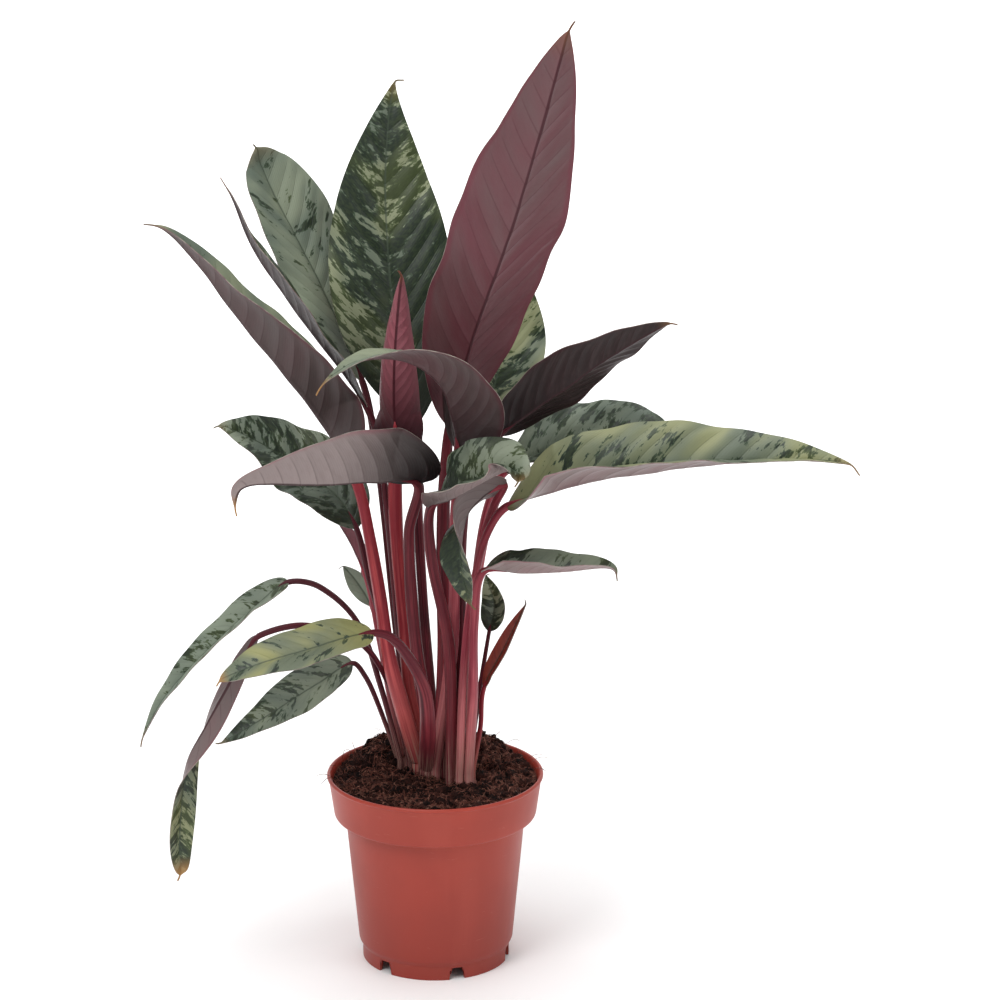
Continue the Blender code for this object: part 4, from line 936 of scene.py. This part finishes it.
def vein_lines():
    """A group that reads a blade's own veins: Line is 1 on a side vein, Fine on the hair veins
    between, Rib on the midrib, Margin towards the edge, Tip and Base towards the ends,
    and the last output is painted shade on a base that stands in the shade of other leaves,
    with a little of the darker tissue a real base has."""
    group = bpy.data.node_groups.new("vein_lines", "ShaderNodeTree")
    for output in ("Line", "Fine", "Rib", "Margin", "Tip", "PaintedShade", "Base"):
        group.interface.new_socket(output, in_out="OUTPUT", socket_type="NodeSocketFloat")
    veins = add_node(group, "Attribute", attribute_name="veins").outputs["Vector"]
    weave = add_node(group, "Attribute", attribute_name="weave").outputs["Vector"]
    phase, across, length = add_node(group, "SeparateXYZ", {0: veins}).outputs
    away = sums(group, "ABSOLUTE", add_node(group, "SeparateXYZ", {0: weave}).outputs[1])
    shares = sums(group, "ABSOLUTE", across)
    line = ease(group, sums(group, "PINGPONG", phase, 0.5), 0.0, 0.07, 1.0, 0.0)
    line = sums(group, "MULTIPLY", line, ease(group, shares, 0.55, 0.98, 1.0, 0.0))
    fine = ease(group, sums(group, "PINGPONG", sums(group, "MULTIPLY", phase, 7.0), 0.5), 0.0, 0.5)
    rib = ease(group, away, 0.0003, 0.0009, 1.0, 0.0)
    painted_shade_and_dark_tone = add_node(group, "Attribute", attribute_name="painted_shade_and_dark_tone").outputs["Fac"]
    out = group.nodes.new("NodeGroupOutput")
    margin, tip = ease(group, shares, 0.86, 1.0), ease(group, length, 0.9, 0.985)
    base = ease(group, length, 0.0, 0.5, 1.0, 0.0)
    for socket, value in zip(out.inputs, (line, fine, rib, margin, tip, painted_shade_and_dark_tone, base)):
        group.links.new(value, socket)
    return group


VEIN_LINES = vein_lines()


def blade_parts(name, **constants):
    """A blade material with its vein masks and its leaf's own tones."""
    material, tree, shader = new_material(name, **constants)
    lines = add_node(tree, "Group", node_tree=VEIN_LINES).outputs
    weave = add_node(tree, "Attribute", attribute_name="weave").outputs["Vector"]
    upper_tone = add_node(tree, "Attribute", attribute_name="upper_tone").outputs["Vector"]
    under_tone = add_node(tree, "Attribute", attribute_name="under_tone").outputs["Vector"]
    yellow, light, tan = add_node(tree, "SeparateXYZ", {0: upper_tone}).outputs
    red, pale, young = add_node(tree, "SeparateXYZ", {0: under_tone}).outputs
    return material, tree, shader, lines, weave, (yellow, light, tan, red, pale, young)


def finish_blade(tree, shader, colour, roughness, relief, strength, distance):
    bump = add_node(tree, "Bump", {"Strength": strength, "Distance": distance, "Height": relief})
    tree.links.new(colour, shader.inputs["Base Color"])
    tree.links.new(roughness, shader.inputs["Roughness"])
    tree.links.new(bump.outputs[0], shader.inputs["Normal"])


upper_side, tree, shader, lines, weave, tones = blade_parts("leaf_upper_side", Specular_IOR_Level=0.4)
yellow, light, tan, red, pale, young = tones
where = add_node(tree, "SeparateXYZ", {0: weave}).outputs
level = sums(tree, "MULTIPLY_ADD", sums(tree, "ABSOLUTE", where[1]), 0.55, where[0])
level = add_node(tree, "CombineXYZ", {0: level, 1: where[1], 2: where[2]}).outputs[0]
small = stretched(tree, level, (300, 150, 1))
middling = stretched(tree, level, (125, 74, 1), (3, 7, 4))
broad = stretched(tree, level, (30, 26, 1), (5, 2, 9))
dots = stretched(tree, level, (700, 420, 1))
patches = noise(tree, small, 1.0, 3.0, 0.62, 0.35)
blots = noise(tree, middling, 1.0, 2.0, 0.5, 0.3)
clouds = noise(tree, broad, 1.0, 2.0)
specks = noise(tree, dots, 1.0, 2.0)
cover = sums(tree, "MULTIPLY_ADD", blots, 0.62, sums(tree, "MULTIPLY", patches, 0.62))
cover = sums(tree, "MULTIPLY_ADD", clouds, 0.30, cover)
cover = sums(tree, "MULTIPLY_ADD", specks, 0.16, cover)
cover = sums(tree, "MULTIPLY_ADD", light, 0.50, sums(tree, "ADD", cover, -0.13))
silver = shade(tree, ease(tree, clouds, 0.35, 0.65), linear(90, 102, 90), linear(124, 134, 117))
warm = sums(tree, "MAXIMUM", ease(tree, clouds, 0.36, 0.62, 0.15, 1.0), lines["Base"])
silver = shade(tree, sums(tree, "MULTIPLY", yellow, warm), silver, linear(148, 147, 92))
green = shade(tree, ease(tree, specks, 0.4, 0.6), linear(28, 40, 28), linear(42, 54, 34))
olive = sums(tree, "MULTIPLY", ease(tree, clouds, 0.46, 0.60), sums(tree, "MULTIPLY_ADD", yellow, 0.6, 0.35))
green = shade(tree, olive, green, linear(66, 76, 34))
half_tone = shade(tree, olive, linear(60, 74, 56), linear(88, 98, 52))
colour = shade(tree, ease(tree, cover, 0.940, 0.966), green, half_tone)
colour = shade(tree, ease(tree, cover, 0.980, 1.004), colour, silver)
# Painted shade: the base is darkened where it stands in the shade of other leaves, with a little of its own
# darker tissue.
colour = shade(tree, lines["PaintedShade"], colour, linear(26, 32, 24))
colour = shade(tree, young, colour, shade(tree, patches, linear(88, 22, 30), linear(168, 76, 56)))
colour = shade(tree, sums(tree, "MULTIPLY", lines["Rib"], 0.7), colour, linear(56, 68, 52))
colour = shade(tree, sums(tree, "MULTIPLY", lines["Line"], 0.14), colour, linear(46, 58, 44))
colour = shade(tree, sums(tree, "MULTIPLY", lines["Tip"], tan), colour, linear(160, 118, 66))
relief = sums(tree, "MULTIPLY_ADD", lines["Fine"], 0.25, sums(tree, "MULTIPLY", lines["Line"], -1.0))
relief = sums(tree, "MULTIPLY_ADD", specks, 0.4, relief)
finish_blade(tree, shader, colour, ease(tree, cover, 0.9, 1.05, 0.40, 0.52), relief, 0.4, 0.0003)

under_side, tree, shader, lines, weave, tones = blade_parts("leaf_underside", Specular_IOR_Level=0.2)
yellow, light, tan, red, pale, young = tones
flush = noise(tree, stretched(tree, weave, (34, 30, 1)), 1.0, 3.0)
mottle = noise(tree, stretched(tree, weave, (420, 160, 1)), 1.0, 3.0)
grey = shade(tree, pale, linear(38, 27, 28), linear(150, 136, 134))
mauve = shade(tree, pale, linear(54, 22, 29), linear(158, 90, 101))
share = sums(tree, "MULTIPLY_ADD", flush, 0.9, sums(tree, "ADD", red, -0.55))
share = sums(tree, "MULTIPLY_ADD", lines["Margin"], 0.45, share)
colour = shade(tree, ease(tree, share, 0.0, 1.0), grey, mauve)
colour = shade(tree, ease(tree, mottle, 0.45, 0.7, 0.0, 0.12), colour, linear(112, 88, 88))
# Painted shade on the underside's base, near black and redder on red leaves.
colour = shade(tree, lines["PaintedShade"], colour, shade(tree, red, linear(7, 5, 6), linear(34, 9, 15)))
dark = shade(tree, red, linear(52, 36, 38), linear(70, 24, 34))
colour = shade(tree, sums(tree, "MULTIPLY", lines["Line"], 0.28), colour, dark)
colour = shade(tree, sums(tree, "MULTIPLY", lines["Rib"], 0.9), colour, dark)
colour = shade(tree, sums(tree, "MULTIPLY", lines["Tip"], tan), colour, linear(168, 122, 66))
relief = sums(tree, "MULTIPLY_ADD", lines["Fine"], 0.2, lines["Line"])
finish_blade(tree, shader, colour, ease(tree, mottle, 0.3, 0.7, 0.36, 0.46), relief, 0.35, 0.0003)

margin_line, tree, shader, lines, weave, tones = blade_parts("leaf_margin", Specular_IOR_Level=0.4)
yellow, light, tan, red, pale, young = tones
flecks = noise(tree, stretched(tree, weave, (180, 180, 1)), 1.0, 2.0)
colour = shade(tree, ease(tree, flecks, 0.35, 0.65), linear(150, 142, 132), linear(112, 92, 90))
colour = shade(tree, lines["Tip"], colour, linear(84, 62, 58))
colour = shade(tree, sums(tree, "MULTIPLY", lines["Tip"], tan), colour, linear(170, 122, 66))
finish_blade(tree, shader, colour, ease(tree, flecks, 0.3, 0.7, 0.42, 0.55), flecks, 0.2, 0.0002)

for seed, name in enumerate(LEAVES, 1):
    grid, weave, veins, columns = blade_surface(name, seed)
    rows, around = grid.shape[:2]
    ring = np.full(around, 0)
    ring[columns:] = 1
    ring[[columns - 1, around - 1]] = 2
    which = np.concatenate([np.tile(ring, rows - 1), [2, 2]])
    ends = [np.arange(around)[None, ::-1], (rows - 1) * around + np.arange(around)[None]]
    blade = add_mesh(name + "_leathery_blade", grid, [quads(rows, around, around=True), *ends],
                     [upper_side, under_side, margin_line], which=which, crease=60)
    leaf = LEAVES[name]
    add_place(blade, "weave", weave)
    add_place(blade, "veins", veins)
    yellow, light, red, pale = leaf["tone"]
    lighter = np.clip(-weave[..., 1] / 0.004, -1, 1) * leaf.get("lopsided", 0)
    add_place(blade, "upper_tone", stacked(yellow, light + lighter, leaf["tan"]))
    # Painted shade at the base: the share falls smoothly from the leaf's own amount at the base to nothing
    # half way to the tip.
    dark = blade.data.attributes.new("painted_shade_and_dark_tone", "FLOAT", "POINT")
    near = np.clip(1 - veins[..., 2] / 0.5, 0, 1)
    shade_share = leaf["painted_shade_and_dark_tone"] * near * near * (3 - 2 * near)
    dark.data.foreach_set("value", shade_share.astype(np.float32).reshape(-1))
    add_place(blade, "under_tone", np.broadcast_to([red, pale, leaf["young"]], grid.shape))
    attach(blade, "root")
    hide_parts(name + "_blade")
